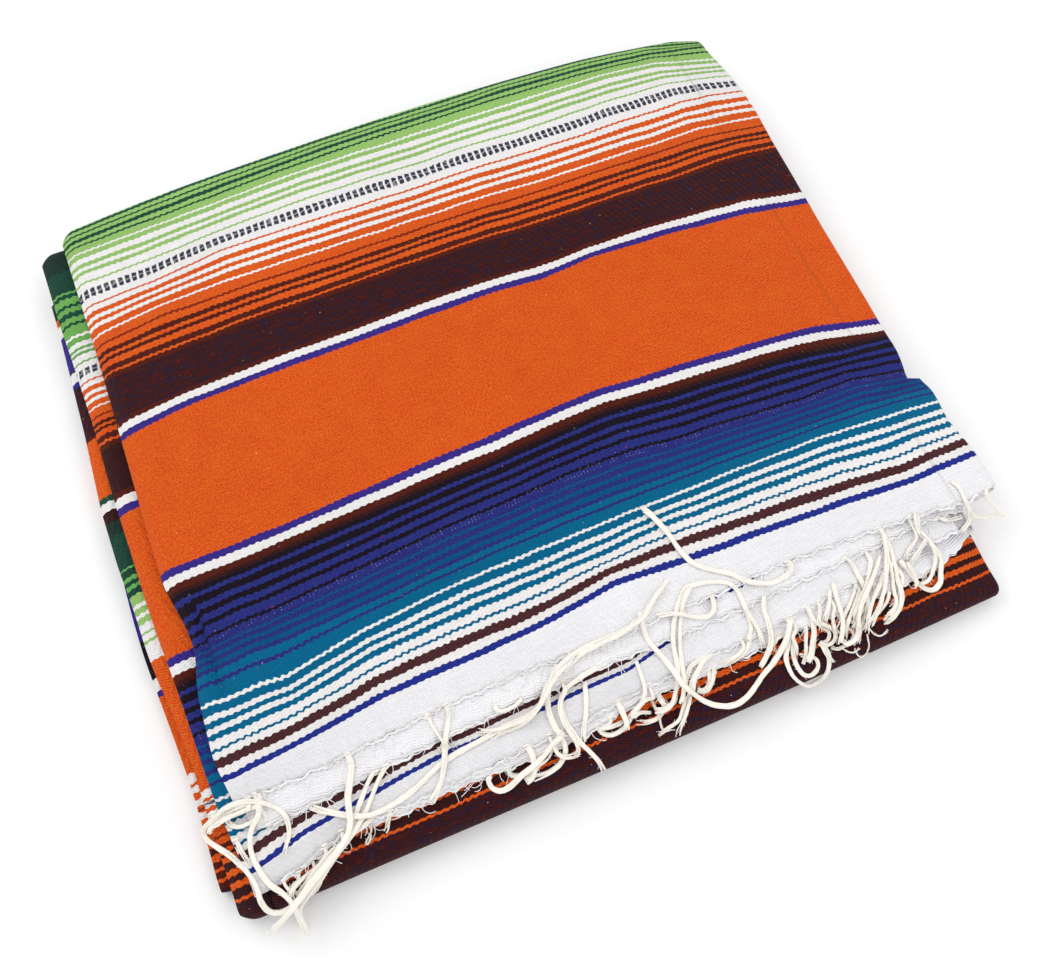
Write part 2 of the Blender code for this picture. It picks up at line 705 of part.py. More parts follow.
def build_core():
    """The hidden layers as one solid: stepped edges at the left and right, flat on the floor."""
    rows = []

    def add_row(y_of, section):
        rows.append([[(x, float(y_of(x)), z) for x, z in half] for half in section])

    lip_front = CLOTH + EASE + 0.0006
    front_section = core_section(-0.5460, "third", lip_front)
    for angle in (75, 50, 25):
        turned = math.radians(angle)
        shrunk = []
        for half in front_section:
            points = []
            for x, z in half:
                middle = 0.5 * fold_top(x)
                points.append((x, middle + (z - middle) * max(0.12, math.cos(turned))))
            shrunk.append(points)
        add_row(lambda x, t=turned: front_centre(x) - (0.5 * fold_top(x) - CLOTH - 0.0012) * math.sin(t), shrunk)
    add_row(front_centre, front_section)
    add_row(lambda x: front_centre(x) + FRONT_LIP + SEAM, core_section(-0.538, "third", lip_front))
    add_row(lambda x: front_centre(x) + FRONT_LIP + 0.0012, core_section(-0.5370, "third"))
    for y, kind in ((-0.5200, "third"), (THIRD_START + 0.0003, "third"), (THIRD_START + 0.0007, "under_second"),
                    (UNDER_SECOND_START + 0.0002, "under_second"), (UNDER_SECOND_START + 0.0008, "second"),
                    (-0.490, "second"), (SECOND_START - 0.0001, "second"), (SECOND_START + 0.0006, "under_top")):
        add_row(lambda x, at=y: at, core_section(y, kind))
    for gap, kind in ((0.0004, "under_top"), (0.0010, "top")):
        add_row(lambda x, g=gap: UNDER_TOP_START + g, core_section(UNDER_TOP_START + gap, kind))
    for share in TOP_ROWS[UNDER_ROWS + 1:-1]:
        add_row(lambda x, s=share: row_y(x, s), core_section(sample_y(share), "top"))
    y_back = sample_y(1.0)
    add_row(lambda x: back_centre(x) - TUCK - 0.0009, core_section(y_back - TUCK - 0.0009, "top", 0.0, 0.8))
    add_row(lambda x: back_centre(x) - TUCK - SEAM, core_section(y_back - TUCK, "top", lip_front, 0.8))
    upper, lower = core_section(y_back, "top", lip_front, 1.0)
    add_row(back_centre, (upper, lower))

    polygons = []
    for before, after in zip(rows, rows[1:]):
        for half in (0, 1):
            for k in range(len(upper) - 1):
                quad = [before[half][k], before[half][k + 1], after[half][k + 1], after[half][k]]
                polygons.append(quad if half == 0 else quad[::-1])
    first = rows[0]
    for k in range(len(upper) - 1):
        polygons.append([first[0][k], first[1][k], first[1][k + 1], first[0][k + 1]])
    turn = [rows[-1][0]]
    for angle in BACK_ANGLES:
        share = turn_share(angle)
        across, up = back_turn(angle)
        line = []
        for (x_top, z_top), (x_low, z_low) in zip(upper, lower):
            x = x_top + (x_low - x_top) * share
            above, below = z_top - fold_top(x_top), fold_top(x_low) - z_low
            reach = above + (below - above) * share
            line.append((x, back_centre(x) + reach * across, fold_top(x) + reach * up))
        turn.append(line)
    turn[-1] = rows[-1][1]
    for before, after in zip(turn, turn[1:]):
        for k in range(len(upper) - 1):
            polygons.append([before[k], before[k + 1], after[k + 1], after[k]])
    return add_joined("hidden_layers", polygons, "dark")


# ---- the fringe --------------------------------------------------------------------------------------------
BAR = 0.0034              # depth of the narrow strip that carries the strands, just in front of each hem
STRAND_WIDE = 0.0044
STRAND_THICK = 0.0022
HEADING_AT = (0.06, 0.36, 0.66, 0.94)                  # shares of the length where headings are stated
MAP_STEP = 0.0015
MAP_X = np.arange(-0.075, 0.650, MAP_STEP)
MAP_Y = np.arange(-0.680, -0.330, MAP_STEP)
RUN_STEP = 0.0015         # fine step along a strand
CELL = 0.008              # length of one modelled cell of a strand

# hem: rows of root x, length, then the heading in the plan at four places (0 is +x, -90 is straight to the front)
STRANDS = {
    "under_second": (
        (0.040, 0.024, -100, -96, -92, -90), (0.110, 0.020, -84, -80, -84, -90),
        (0.178, 0.026, -98, -110, -112, -104), (0.243, 0.018, -90, -88, -92, -95),
        (0.310, 0.034, -136, -137, -145, -150), (0.366, 0.020, -88, -82, -80, -80),
        (0.423, 0.065, -61, -12, 27, 40), (0.487, 0.030, -95, -112, -118, -116), (0.542, 0.022, -88, -84, -84, -90),
    ),
    "second": (
        (0.070, 0.030, -92, -84, -78, -80), (0.150, 0.028, -112, -118, -108, -100),
        (0.208, 0.022, -86, -84, -90, -95), (0.265, 0.026, -95, -93, -83, -79), (0.337, 0.054, -138, -133, -122, -115),
        (0.352, 0.120, -50, 4, 10, -20), (0.413, 0.049, -129, -141, -159, -158), (0.455, 0.029, -106, -104, -98, -96),
        (0.505, 0.026, -86, -80, -76, -80), (0.558, 0.030, -95, -104, -112, -110),
    ),
    "under_top": (
        (0.044, 0.125, -40, -12, 14, 4), (0.094, 0.040, -140, -134, -122, -120), (0.1025, 0.132, -127, -153, -154, -152),
        (0.141, 0.086, -127, -149, -163, -170), (0.196, 0.022, -150, -175, 192, 198),
        (0.2160, 0.062, -99, -79, -43, -64), (0.2280, 0.072, -106, -100, -159, -184), (0.240, 0.042, -130, -133, -145, -150),
        (0.254, 0.044, -110, -112, -120, -123), (0.335, 0.024, -88, -92, -96, -96), (0.427, 0.108, -72, -95, -150, -220),
        (0.470, 0.047, -72, -95, -126, -140), (0.513, 0.067, -104, -113, -142, -161), (0.539, 0.094, -113, -93, -150, -200),
    ),
    "top": (
        (0.014, 0.120, -175, -150, -70, -70), (0.0230, 0.090, -121, -88, -68, -83), (0.0320, 0.042, -19, -57, -101, -113),
        (0.082, 0.038, -113, -111, -106, -105), (0.154, 0.067, -103, -118, -127, -135), (0.225, 0.080, -30, -3, 0, 1),
        (0.268, 0.020, -90, -96, -100, -100), (0.305, 0.174, -104, -49, 14, 44), (0.359, 0.074, -91, -150, -186, -190),
        (0.402, 0.056, -106, -113, -123, -127), (0.430, 0.142, -150, -214, -249, -249), (0.446, 0.022, -84, -86, -94, -96),
        (0.507, 0.064, -102, -113, -127, -137), (0.577, 0.077, -82, -50, 18, 88),
    ),
}
BAR_ENDS = {"under_second": (0.012, 0.570), "second": (0.014, 0.572), "under_top": (0.020, 0.582),
            "top": (0.007, 0.588)}


def land():
    """Heights of everything the strands lie on, over the grid of MAP_X and MAP_Y."""
    x, y = np.meshgrid(MAP_X, MAP_Y, indexing="ij")
    heights = np.zeros_like(x)
    radius = 0.5 * fold_top(x)
    depth = np.clip((front_centre(x) - y) / radius, 0.0, 1.0)
    rounded = radius + radius * np.sqrt(1.0 - depth * depth)
    inside = (x > left_edge(y, "third")) & (x < right_edge(y, "second")) & (y > front_centre(x) - radius)
    heights = np.where(inside, rounded, heights)
    for name in ("under_second", "second", "under_top", "top"):
        layer = "top" if name in ("top", "under_top") else "second"
        inside = (x > left_edge(y, layer)) & (x < right_edge(y, layer)) & (y > hem(x, name) - BAR - SEAM)
        heights = np.where(inside, np.maximum(heights, level(x, y, name)), heights)
    return heights


def bar_back(x, name):
    """y of the back of a hem's narrow strip: just clear of the cloth, whose edge is straight between cuts."""
    cuts = (0.0, 0.010, 0.015) + COMMON_X + (0.576, 0.590)
    straight = np.interp(x, cuts, [hem(cut, name) for cut in cuts])
    return float(min(straight, hem(x, name))) - SEAM - 0.0001


def strand_route(name, x_root, length, headings):
    """Plan of a strand in fine steps: it leaves its hem straight and turns into the stated headings."""
    at = np.array((x_root, bar_back(x_root, name) - BAR))
    points = [at]
    for k in range(int(length / RUN_STEP)):
        done = (k + 0.5) * RUN_STEP
        heading = np.interp(done / length, HEADING_AT, headings)
        lead = smooth(0.0, 0.005, done)
        heading = -90.0 + (heading + 90.0) * lead
        turned = math.radians(heading)
        at = at + RUN_STEP * np.array((math.cos(turned), math.sin(turned)))
        points.append(at)
    return np.array(points)


def footprint(radius):
    reach = int(math.ceil(radius / MAP_STEP))
    steps = range(-reach, reach + 1)
    return [(i, j) for i in steps for j in steps if math.hypot(i, j) * MAP_STEP <= radius + 0.4 * MAP_STEP]


def map_cell(point):
    return (int(round((point[0] - MAP_X[0]) / MAP_STEP)), int(round((point[1] - MAP_Y[0]) / MAP_STEP)))


def strand_heights(route, heights, z_root, cell):
    """Height of the strand's middle along its route: over whatever lies there, with soft climbs and falls."""
    near = footprint(0.5 * STRAND_WIDE + 0.0012)
    need = []
    for point in route:
        i, j = map_cell(point)
        need.append(max(heights[i + di, j + dj] for di, dj in near) + 0.5 * STRAND_THICK + 0.0009)
    need = np.array(need)
    free = int(0.0045 / RUN_STEP)
    need[:free] = z_root
    window = max(1, int(round(0.85 * cell / RUN_STEP)))
    wide = np.array([need[max(0, k - window):k + window + 1].max() for k in range(len(need))])
    wide[:free] = z_root
    for k in range(1, len(wide)):
        wide[k] = max(wide[k], wide[k - 1] - 1.5 * RUN_STEP)
    for k in range(len(wide) - 2, free - 1, -1):
        wide[k] = max(wide[k], wide[k + 1] - 1.1 * RUN_STEP)
    wide[0] = z_root
    return wide


def stamp(route, middle, heights):
    """Add a finished strand to the map."""
    near = footprint(0.5 * STRAND_WIDE)
    for point, z in zip(route, middle):
        i, j = map_cell(point)
        for di, dj in near:
            heights[i + di, j + dj] = max(heights[i + di, j + dj], z + 0.5 * STRAND_THICK)


def build_fringe(name, heights):
    """The strands of one hem, all growing out of one narrow strip in front of it."""
    start_x, end_x = BAR_ENDS[name]
    roots = sorted(STRANDS[name])
    cuts = [start_x]
    for row in roots:
        cuts += [row[0] - 0.5 * STRAND_WIDE, row[0] + 0.5 * STRAND_WIDE]
    cuts.append(end_x)
    for before, after in zip(cuts[:-1], cuts[1:]):
        pieces = int((after - before) / 0.030)
        cuts += [before + (after - before) * k / (pieces + 1) for k in range(1, pieces + 1)]
    cuts = sorted(cuts)

    def bar_point(x, front, up):
        y = bar_back(x, name) - (BAR if front else 0.0)
        top_z = float(level(x, -0.482, name)) - 0.0001
        return (x, y, top_z if up else top_z - STRAND_THICK)

    polygons = []
    middles = {round(row[0], 5) for row in roots}
    for x0, x1 in zip(cuts[:-1], cuts[1:]):
        corners = [(bar_point(x, front, up)) for x in (x0, x1) for front in (True, False) for up in (False, True)]
        front_low0, front_top0, back_low0, back_top0, front_low1, front_top1, back_low1, back_top1 = corners
        polygons.append([front_top0, front_top1, back_top1, back_top0])
        polygons.append([front_low0, back_low0, back_low1, front_low1])
        polygons.append([back_low0, back_top0, back_top1, back_low1])
        if round(0.5 * (x0 + x1), 5) not in middles:
            polygons.append([front_low0, front_low1, front_top1, front_top0])
    for x, order in ((cuts[0], 1), (cuts[-1], -1)):
        end = [bar_point(x, True, False), bar_point(x, True, True), bar_point(x, False, True),
               bar_point(x, False, False)]
        polygons.append(end[::order])

    for x_root, length, *headings in STRANDS[name]:
        cell = length / max(2, round(length / CELL))
        route = strand_route(name, x_root, length, headings)
        z_root = bar_point(x_root, True, True)[2] - 0.5 * STRAND_THICK
        middle = strand_heights(route, heights, z_root, cell)
        stamp(route, middle, heights)
        x0, x1 = x_root - 0.5 * STRAND_WIDE, x_root + 0.5 * STRAND_WIDE
        ring = [bar_point(x0, True, False), bar_point(x1, True, False), bar_point(x1, True, True),
                bar_point(x0, True, True)]
        count = len(route) - 1
        marks = sorted({int(round(count * k * cell / length)) for k in range(1, int(round(length / cell)) + 1)})
        marks = [2] + [mark for mark in marks if mark > 3]
        for mark in marks:
            ahead = route[min(count, mark + 1)] - route[mark - 1]
            along = ahead / np.hypot(*ahead)
            side = np.array((-along[1], along[0]))
            wide = 0.5 * STRAND_WIDE * (1.0 - 0.35 * smooth(0.7, 1.0, mark / count))
            thick = 0.5 * STRAND_THICK
            x, y = route[mark]
            z = middle[mark]
            right, left = -side * wide, side * wide
            following = [(x + left[0], y + left[1], z - thick), (x + right[0], y + right[1], z - thick),
                         (x + right[0], y + right[1], z + thick), (x + left[0], y + left[1], z + thick)]
            following = [following[1], following[0], following[3], following[2]]
            for k in range(4):
                n = (k + 1) % 4
                polygons.append([ring[k], ring[n], following[n], following[k]])
            ring = following
        polygons.append(ring)
    return add_joined("fringe_" + name, polygons, "cream")


def clear_scene():
    for thing in list(bpy.data.objects):
        bpy.data.objects.remove(thing, do_unlink=True)


clear_scene()
build_top()
build_second()
build_third()
build_inner()
build_core()
land_map = land()
for hem_name in ("under_second", "second", "under_top", "top"):
    build_fringe(hem_name, land_map)
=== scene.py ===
"""Looks of the folded serape: its woven stripes, soft edges and fringe, on the forms of its solids.

x runs along the stripes, from the selvedges (left) to the width fold (right); -y is the fringed
front; z is up. The cloth's path, seen from the left: the top layer runs back from its hem, over the
outer back fold and down to the floor; the middle of the cloth is the low fold at the front; the second
end lies between the two. Working coordinates are those of the part's source. FRAME moves the whole
stack so that it stands centred on the origin.
"""
import math

import bmesh
import bpy
import numpy as np
from mathutils import Matrix


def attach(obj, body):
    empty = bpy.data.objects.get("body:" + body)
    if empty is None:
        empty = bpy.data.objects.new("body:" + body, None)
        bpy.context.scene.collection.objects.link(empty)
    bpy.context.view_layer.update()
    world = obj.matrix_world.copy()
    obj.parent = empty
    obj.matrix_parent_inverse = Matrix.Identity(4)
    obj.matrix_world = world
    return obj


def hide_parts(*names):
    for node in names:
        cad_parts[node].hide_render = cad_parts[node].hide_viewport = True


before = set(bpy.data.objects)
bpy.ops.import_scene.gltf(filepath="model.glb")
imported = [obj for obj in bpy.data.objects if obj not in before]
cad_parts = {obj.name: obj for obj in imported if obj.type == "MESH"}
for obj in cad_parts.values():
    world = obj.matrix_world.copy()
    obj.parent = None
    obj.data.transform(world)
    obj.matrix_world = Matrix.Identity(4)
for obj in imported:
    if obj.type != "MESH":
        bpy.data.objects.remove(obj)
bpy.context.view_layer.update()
RNG = np.random.default_rng(7)


# ---- the forms of the solids, metres -------------------------------------------------------------

WIDTH = 0.600             # folded width, half of the cloth's 1.2 m
LAYER = 0.011             # one doubled layer: two cloths and the air between them
CLOTH = 0.0024            # thickness of the woven wall
SEAM = 0.0003             # gap between pieces that lie on each other
EASE = 0.0006             # gap where a wall lies over the hidden layers
PITCH = CLOTH + SEAM      # one cloth on another, pressed flat
DOME = 0.009              # rise of the soft stack towards its middle
SQUARENESS = 2.6          # of the back folds: 2 is round, more is boxier
TUCK = 0.014              # how far a fold runs on along the floor under the stack
FOLD_DROOP = 0.006        # how far a soft edge turns down
DROOP_RUN = 0.012         # over this width
INSET = 0.008             # hidden edges stand back this far under the edge of the layer above
FRAME = (-0.2905, 0.2752, 0.0)
SECTION_FRONT_Y = -0.482  # the foremost y at which the top layer's sections are taken

TRAY_START = -0.458       # from here forward the layers lie as single open ends,
OPEN_START = -0.335       # and from here back they are doubled
RIGHT_OPENING = 0.0062    # height of each open width fold at the front right
SWELL = 0.0028            # rise of the third layer towards its middle
RIGHT_SINK = 0.005        # how far the stack sinks towards its right
HEM_WAVES = (0.0008, 0.0005)          # small waves of the hems, and how many radians a metre they turn
HEM_TURNS = (330.0, 770.0)


# ---- outlines: y of the section, then the left edge of each layer there --------------------------
#        y     top    second  third  inner
LEFT_EDGES = (
    (0.000, 0.0000, -0.0225, -0.0265, -0.0270),
    (-0.060, 0.0005, -0.0220, -0.0265, -0.0270),
    (-0.100, 0.0010, -0.0205, -0.0275, -0.0275),
    (-0.160, 0.0005, -0.0190, -0.0292, -0.0290),
    (-0.230, -0.0005, -0.0195, -0.0330, -0.0325),
    (-0.280, -0.0015, -0.0185, -0.0325, -0.0330),
    (-0.320, -0.0010, -0.0180, -0.0300, -0.0340),
    (-0.350, 0.0050, -0.0170, -0.0295, -0.0338),
    (-0.372, 0.0072, -0.0155, -0.0280, -0.0325),
    (-0.400, -0.0005, -0.0140, -0.0245, -0.0305),
    (-0.450, -0.0040, -0.0125, -0.0210, -0.0275),
    (-0.485, 0.0015, -0.0110, -0.0210, -0.0272),
    (-0.530, 0.0020, -0.0050, -0.0195, -0.0280),
    (-0.560, 0.0020, -0.0035, -0.0192, -0.0240),
)
#         y     top    lower layers
RIGHT_EDGES = (
    (0.000, 0.604, 0.578),
    (-0.020, 0.609, 0.579),
    (-0.050, 0.614, 0.580),
    (-0.080, 0.615, 0.580),
    (-0.120, 0.6115, 0.581),
    (-0.160, 0.6095, 0.581),
    (-0.220, 0.6055, 0.582),
    (-0.300, 0.6020, 0.582),
    (-0.350, 0.5985, 0.582),
    (-0.376, 0.5935, 0.582),
    (-0.395, 0.6010, 0.582),
    (-0.420, 0.6045, 0.582),
    (-0.450, 0.6090, 0.582),
    (-0.474, 0.6100, 0.582),
    (-0.492, 0.6060, 0.581),
    (-0.540, 0.6040, 0.577),
)
#        x     y of the back edge of the doubled layers
BACK_EDGES = (
    (0.000, 0.0100),
    (0.020, 0.0112),
    (0.060, 0.0134),
    (0.100, 0.0150),
    (0.200, 0.0168),
    (0.250, 0.0180),
    (0.300, 0.0193),
    (0.400, 0.0208),
    (0.500, 0.0219),
    (0.545, 0.0226),
    (0.575, 0.0220),
    (0.592, 0.0200),
    (0.610, 0.0170),
)
#        x     top   under top  second  under second: y of the four hems
HEMS = (
    (0.000, -0.4855, -0.5080, -0.5440, -0.5460),
    (0.030, -0.4853, -0.5060, -0.5385, -0.5405),
    (0.062, -0.4852, -0.5040, -0.5290, -0.5315),
    (0.104, -0.4825, -0.5015, -0.5305, -0.5335),
    (0.159, -0.4795, -0.4985, -0.5290, -0.5330),
    (0.207, -0.4786, -0.4970, -0.5270, -0.5360),
    (0.231, -0.4790, -0.4970, -0.5265, -0.5355),
    (0.284, -0.4809, -0.4970, -0.5215, -0.5280),
    (0.337, -0.4807, -0.4975, -0.5200, -0.5290),
    (0.390, -0.4798, -0.4970, -0.5180, -0.5275),
    (0.430, -0.4785, -0.4960, -0.5150, -0.5270),
    (0.500, -0.4820, -0.4930, -0.5100, -0.5270),
    (0.545, -0.4860, -0.4910, -0.5060, -0.5240),
    (0.575, -0.4910, -0.4930, -0.5060, -0.5110),
    (0.612, -0.4860, -0.4890, -0.5060, -0.5100),
)
HEM_COLUMN = {"top": 1, "under_top": 2, "second": 3, "under_second": 4}
LEFT_COLUMN = {"top": 1, "second": 2, "third": 3, "inner": 4}
FRONT_FOLD_Y = -0.5585    # front of the low fold
INNER_FRONT_Y = -0.5345   # front of the inner cloth's fold, which shows at the left
INNER_BACK_Y = -0.290     # where its edge comes out from under the layer above
THIRD_BACK_Y = -0.040     # where the third layer's edge comes out from under the second
SECOND_START = -0.4748    # the second layer's front strip runs back to here
UNDER_SECOND_START = -0.5056  # its lower half back to here
UNDER_TOP_START = -0.4620     # and the top layer's lower half back to here
THIRD_START = -0.5072     # the low fold's cloth runs back to here


# ---- soft ridges of the top cloth: x and y of the two ends, half width, height -------------------
RIDGES = (
    (0.060, -0.060, 0.045, -0.300, 0.030, 0.0016),
    (0.300, -0.330, 0.350, -0.030, 0.034, 0.0024),
    (0.430, -0.420, 0.405, -0.250, 0.028, 0.0022),
    (0.160, -0.440, 0.230, -0.330, 0.036, 0.0020),
    (0.520, -0.340, 0.590, -0.350, 0.014, 0.0026),
    (0.470, -0.060, 0.590, -0.052, 0.020, 0.0022),
    (0.100, -0.200, 0.260, -0.235, 0.030, 0.0014),
    (0.440, -0.170, 0.560, -0.215, 0.034, 0.0018),
    (0.045, -0.345, 0.038, -0.440, 0.012, 0.0022),
)


# ---- small helpers, all of them good for numbers and for arrays ----------------------------------
def smooth(start, end, value):
    """0 before start, 1 after end, with a soft step between; start may be the larger."""
    t = np.clip((value - start) / (end - start), 0.0, 1.0)
    return t * t * (3.0 - 2.0 * t)


def column(table, key, col, reach=0.008):
    """Read a column of a table at key, with its corners rounded over the given reach."""
    rows = sorted(table)
    keys = [row[0] for row in rows]
    values = [row[col] for row in rows]
    before = np.interp(key - reach, keys, values)
    after = np.interp(key + reach, keys, values)
    return (before + 2.0 * np.interp(key, keys, values) + after) / 4.0


def left_edge(y, layer):
    return column(LEFT_EDGES, y, LEFT_COLUMN[layer])


def right_edge(y, layer="top"):
    return column(RIGHT_EDGES, y, 1 if layer == "top" else 2)


def hem(x, name):
    """y of a hem, with its small waves."""
    y = column(HEMS, x, HEM_COLUMN[name], 0.012)
    for order, (size, turn) in enumerate(zip(HEM_WAVES, HEM_TURNS), 1):
        y = y + size * np.sin(turn * x + order * 2.1 * HEM_COLUMN[name])
    return y


def back_centre(x):
    """y of the axis that the back folds turn about."""
    return column(BACK_EDGES, x, 1, 0.016) - 2 * LAYER


# ---- heights of the layers -----------------------------------------------------------------------
def fold_top(x):
    """Top of the third layer, which is also the top of the low front fold."""
    swell = SWELL * np.sin(math.pi * np.clip(x / WIDTH, 0.0, 1.0))
    return 2 * LAYER + swell - RIGHT_SINK * smooth(0.470, 0.575, x)


def open_end(y):
    """0 where the layers are doubled, 1 in front where their open ends lie pressed together."""
    return smooth(OPEN_START, TRAY_START, y)


def right_opening(x):
    """0 where the layers lie pressed, 1 at the right where their width folds stand open."""
    return smooth(0.480, 0.575, x)


def ridges(x, y, table=RIDGES, fade_in=(-0.35, 0.15), fade_out=(1.35, 0.85)):
    """Height of the soft ridges; each fades in and out between these shares of its length."""
    height = 0.0
    for x0, y0, x1, y1, half, rise in table:
        run_x, run_y = x1 - x0, y1 - y0
        along = ((x - x0) * run_x + (y - y0) * run_y) / (run_x ** 2 + run_y ** 2)
        nearest = np.clip(along, 0.0, 1.0)
        off = np.hypot(x - x0 - nearest * run_x, y - y0 - nearest * run_y)
        fade = smooth(*fade_in, along) * smooth(*fade_out, along)
        height = height + rise * fade * np.exp(-(off / half) ** 2)
    return height


def dome(x, y):
    """Rise of the soft stack's top, highest in the middle of its width."""
    across = np.sin(math.pi * np.clip(x / WIDTH, 0.0, 1.0)) ** 0.8
    return DOME * across * (1.0 - 0.25 * smooth(-0.12, 0.0, y))


def level(x, y, name):
    """Height of the upper face of a layer's cloth."""
    base = fold_top(x)
    front = open_end(y)
    opening = RIGHT_OPENING * right_opening(x)
    if name == "inner":
        return 0.5 * base
    if name == "third":
        return base
    if name == "under_second":
        return base + PITCH
    second = base + LAYER * (1.0 - front) + (2 * PITCH + opening) * front
    if name == "second":
        return second
    sag = 0.005 * smooth(0.585, 0.620, x)
    if name == "under_top":
        return second + PITCH + 0.0005 * right_opening(x) - 0.4 * sag
    doubled = 2 * LAYER + dome(x, y)
    pressed = 4 * PITCH + 2 * opening
    # the ridges fade out before the back fold
    return base + doubled * (1.0 - front) + pressed * front - sag + ridges(x, y) * smooth(-0.010, -0.050, y)


def edge_droop(distance, y):
    """How far a soft edge has turned down at this distance inside it; the pressed open ends lie flat."""
    inside = np.clip(1.0 - distance / DROOP_RUN, 0.0, 1.0)
    return FOLD_DROOP * inside * inside * (1.0 - 0.92 * open_end(y))


def wall_limit(y, layer_above):
    """x where a strip ends: it runs in just under the edge of the layer above it."""
    return left_edge(y, layer_above) + INSET


# ---- finer cuts of the same surfaces -------------------------------------------------------------
LEFT_RUN = (0.0, 0.0006, 0.0015, 0.003, 0.005, 0.0075, 0.010, DROOP_RUN)  # columns in from a soft left edge
TOP_RUN = LEFT_RUN + (0.0145, 0.0165, 0.0185, 0.021)
STRIP = len(LEFT_RUN) + 4                                 # columns of a strip along the left edge
ACROSS = tuple(0.030 + 0.003 * k for k in range(183))     # x of the columns on the flat
ACROSS_LOW = tuple(x for x in ACROSS if x < 0.566)        # as far as they go on the lower layers
COMMON_X = (0.030, 0.075, 0.125, 0.180, 0.235, 0.290, 0.345, 0.400, 0.450, 0.490, 0.520, 0.543, 0.562)
FOLD_STEPS = (0.003, 0.006)                               # columns just inside a width fold
FOLD_ANGLES = tuple(range(0, 181, 12))                    # round a width fold
BACK_ANGLES = tuple(range(84, -91, -6))                   # round the outer back fold
INNER_TURN = tuple(range(80, -1, -10))                    # round the upper half of the inner back fold
FRONT_ANGLES = tuple(range(84, -91, -6))                  # round the low front fold
INNER_ANGLES = tuple(range(80, -91, -10))                 # round the inner cloth's front fold
UNDER_SHARE = 0.05        # the top layer's lower half is modelled on this share of its length
UNDER_ROWS = 8            # in this many rows
# rows of the top layer, as shares of the way from its hem to the axis of the back folds
SHARES = tuple(np.linspace(0.0, UNDER_SHARE, UNDER_ROWS + 1)) + tuple(np.linspace(UNDER_SHARE, 1.0, 146)[1:])
SECOND_ROWS = 14          # of the second layer's front strip
# sharper folds of the top cloth than the solid has: x, y of the two ends, half width, height
CREASES = (
    (0.0165, -0.345, 0.0155, -0.418, 0.0019, -0.0032),
    (0.0070, -0.355, 0.0060, -0.440, 0.0060, 0.0016),
    (0.606, -0.3785, 0.555, -0.383, 0.0028, -0.0022),
    (0.604, -0.392, 0.560, -0.396, 0.0080, 0.0018),
    (0.020, -0.330, 0.120, -0.345, 0.0060, 0.0007),
    (0.330, -0.395, 0.400, -0.300, 0.0120, 0.0009),
    (0.345, -0.190, 0.375, -0.130, 0.0100, 0.0009),
)
PINCH = (-0.3775, -0.3795)            # y of the pinch in the top layer's width fold, its back and its front
PINCH_OUT, PINCH_IN = 0.0085, 0.0015  # how far the fold stands out in front of that place and in behind it
FRONT_BOW, FRONT_WAVE = 0.0022, 0.0010    # how far the low fold bows and waves
THIRD_RADIUS = 0.0039     # of the third layer's width fold
FRONT_LIP = 0.009         # how far the low fold's cloth runs back on the floor
TOP_UPPER = len(TOP_RUN) + len(ACROSS)                    # first column of the top layer's width fold
RETURN_END = TOP_UPPER + len(FOLD_ANGLES)                 # and the first one after it


def width_fold(outer, inner, flat_end, top_z, radius):
    """Add the points round a width fold to the two sides of a section."""
    for angle in FOLD_ANGLES:
        turned = math.radians(angle)
        for points, size in ((outer, radius), (inner, radius - CLOTH)):
            points.append((flat_end + size * math.sin(turned), top_z - radius + size * math.cos(turned)))


def turn_share(angle):
    """0 on a back fold's upper half, 1 at the floor, where its lower reach holds."""
    return smooth(10.0, 78.0, -angle)


def back_turn(angle):
    """The way from a back fold's axis to its boxy round, across and up."""
    across, up = math.cos(math.radians(angle)), math.sin(math.radians(angle))
    stretch = (abs(across) ** SQUARENESS + abs(up) ** SQUARENESS) ** (-1.0 / SQUARENESS)
    return stretch * across, stretch * up


def wrap_back(x, angle, above, below):
    """A line round the back folds; above and below are its distances from the axis, up and down."""
    across, up = back_turn(angle)
    reach = above + (below - above) * turn_share(angle)
    return np.stack((x, back_centre(x) + reach * across, fold_top(x) + reach * up), -1)


def front_centre(x):
    """y of the axis that the low front fold turns about."""
    wave = FRONT_BOW * np.sin(math.pi * x / 0.95) - FRONT_WAVE * np.cos(9.0 * x)
    return FRONT_FOLD_Y - wave + 0.5 * fold_top(x)


def wrap_front(x, angle, height):
    """A line round the low front fold, at a distance from its axis."""
    turned = math.radians(angle)
    middle = 0.5 * fold_top(x)
    return np.stack((x, front_centre(x) - height * math.cos(turned), middle + height * math.sin(turned)), -1)


def row_y(x, share):
    """y of a row of the top layer at x."""
    start = hem(x, "top")
    return start + (back_centre(x) - start) * share


def sample_y(share):
    """The one y at which a row's section is taken."""
    return SECTION_FRONT_Y + (back_centre(WIDTH / 2) - SECTION_FRONT_Y) * share


def both(points_out, points_in):
    """(side, column, x/z) from two lists of (x, z) points."""
    return np.array((points_out, points_in), dtype=float)


def creases(x, y):
    """Height of the sharper folds of the top cloth."""
    return ridges(x, y, CREASES, (-0.05, 0.15), (1.05, 0.75))


def notch(y):
    """How far the top layer's width fold steps out or in about the place where it is pinched."""
    ahead = PINCH_OUT * smooth(*PINCH, y) * smooth(-0.425, -0.385, y)
    return ahead - PINCH_IN * smooth(-0.365, -0.376, y) * smooth(*PINCH[::-1], y)


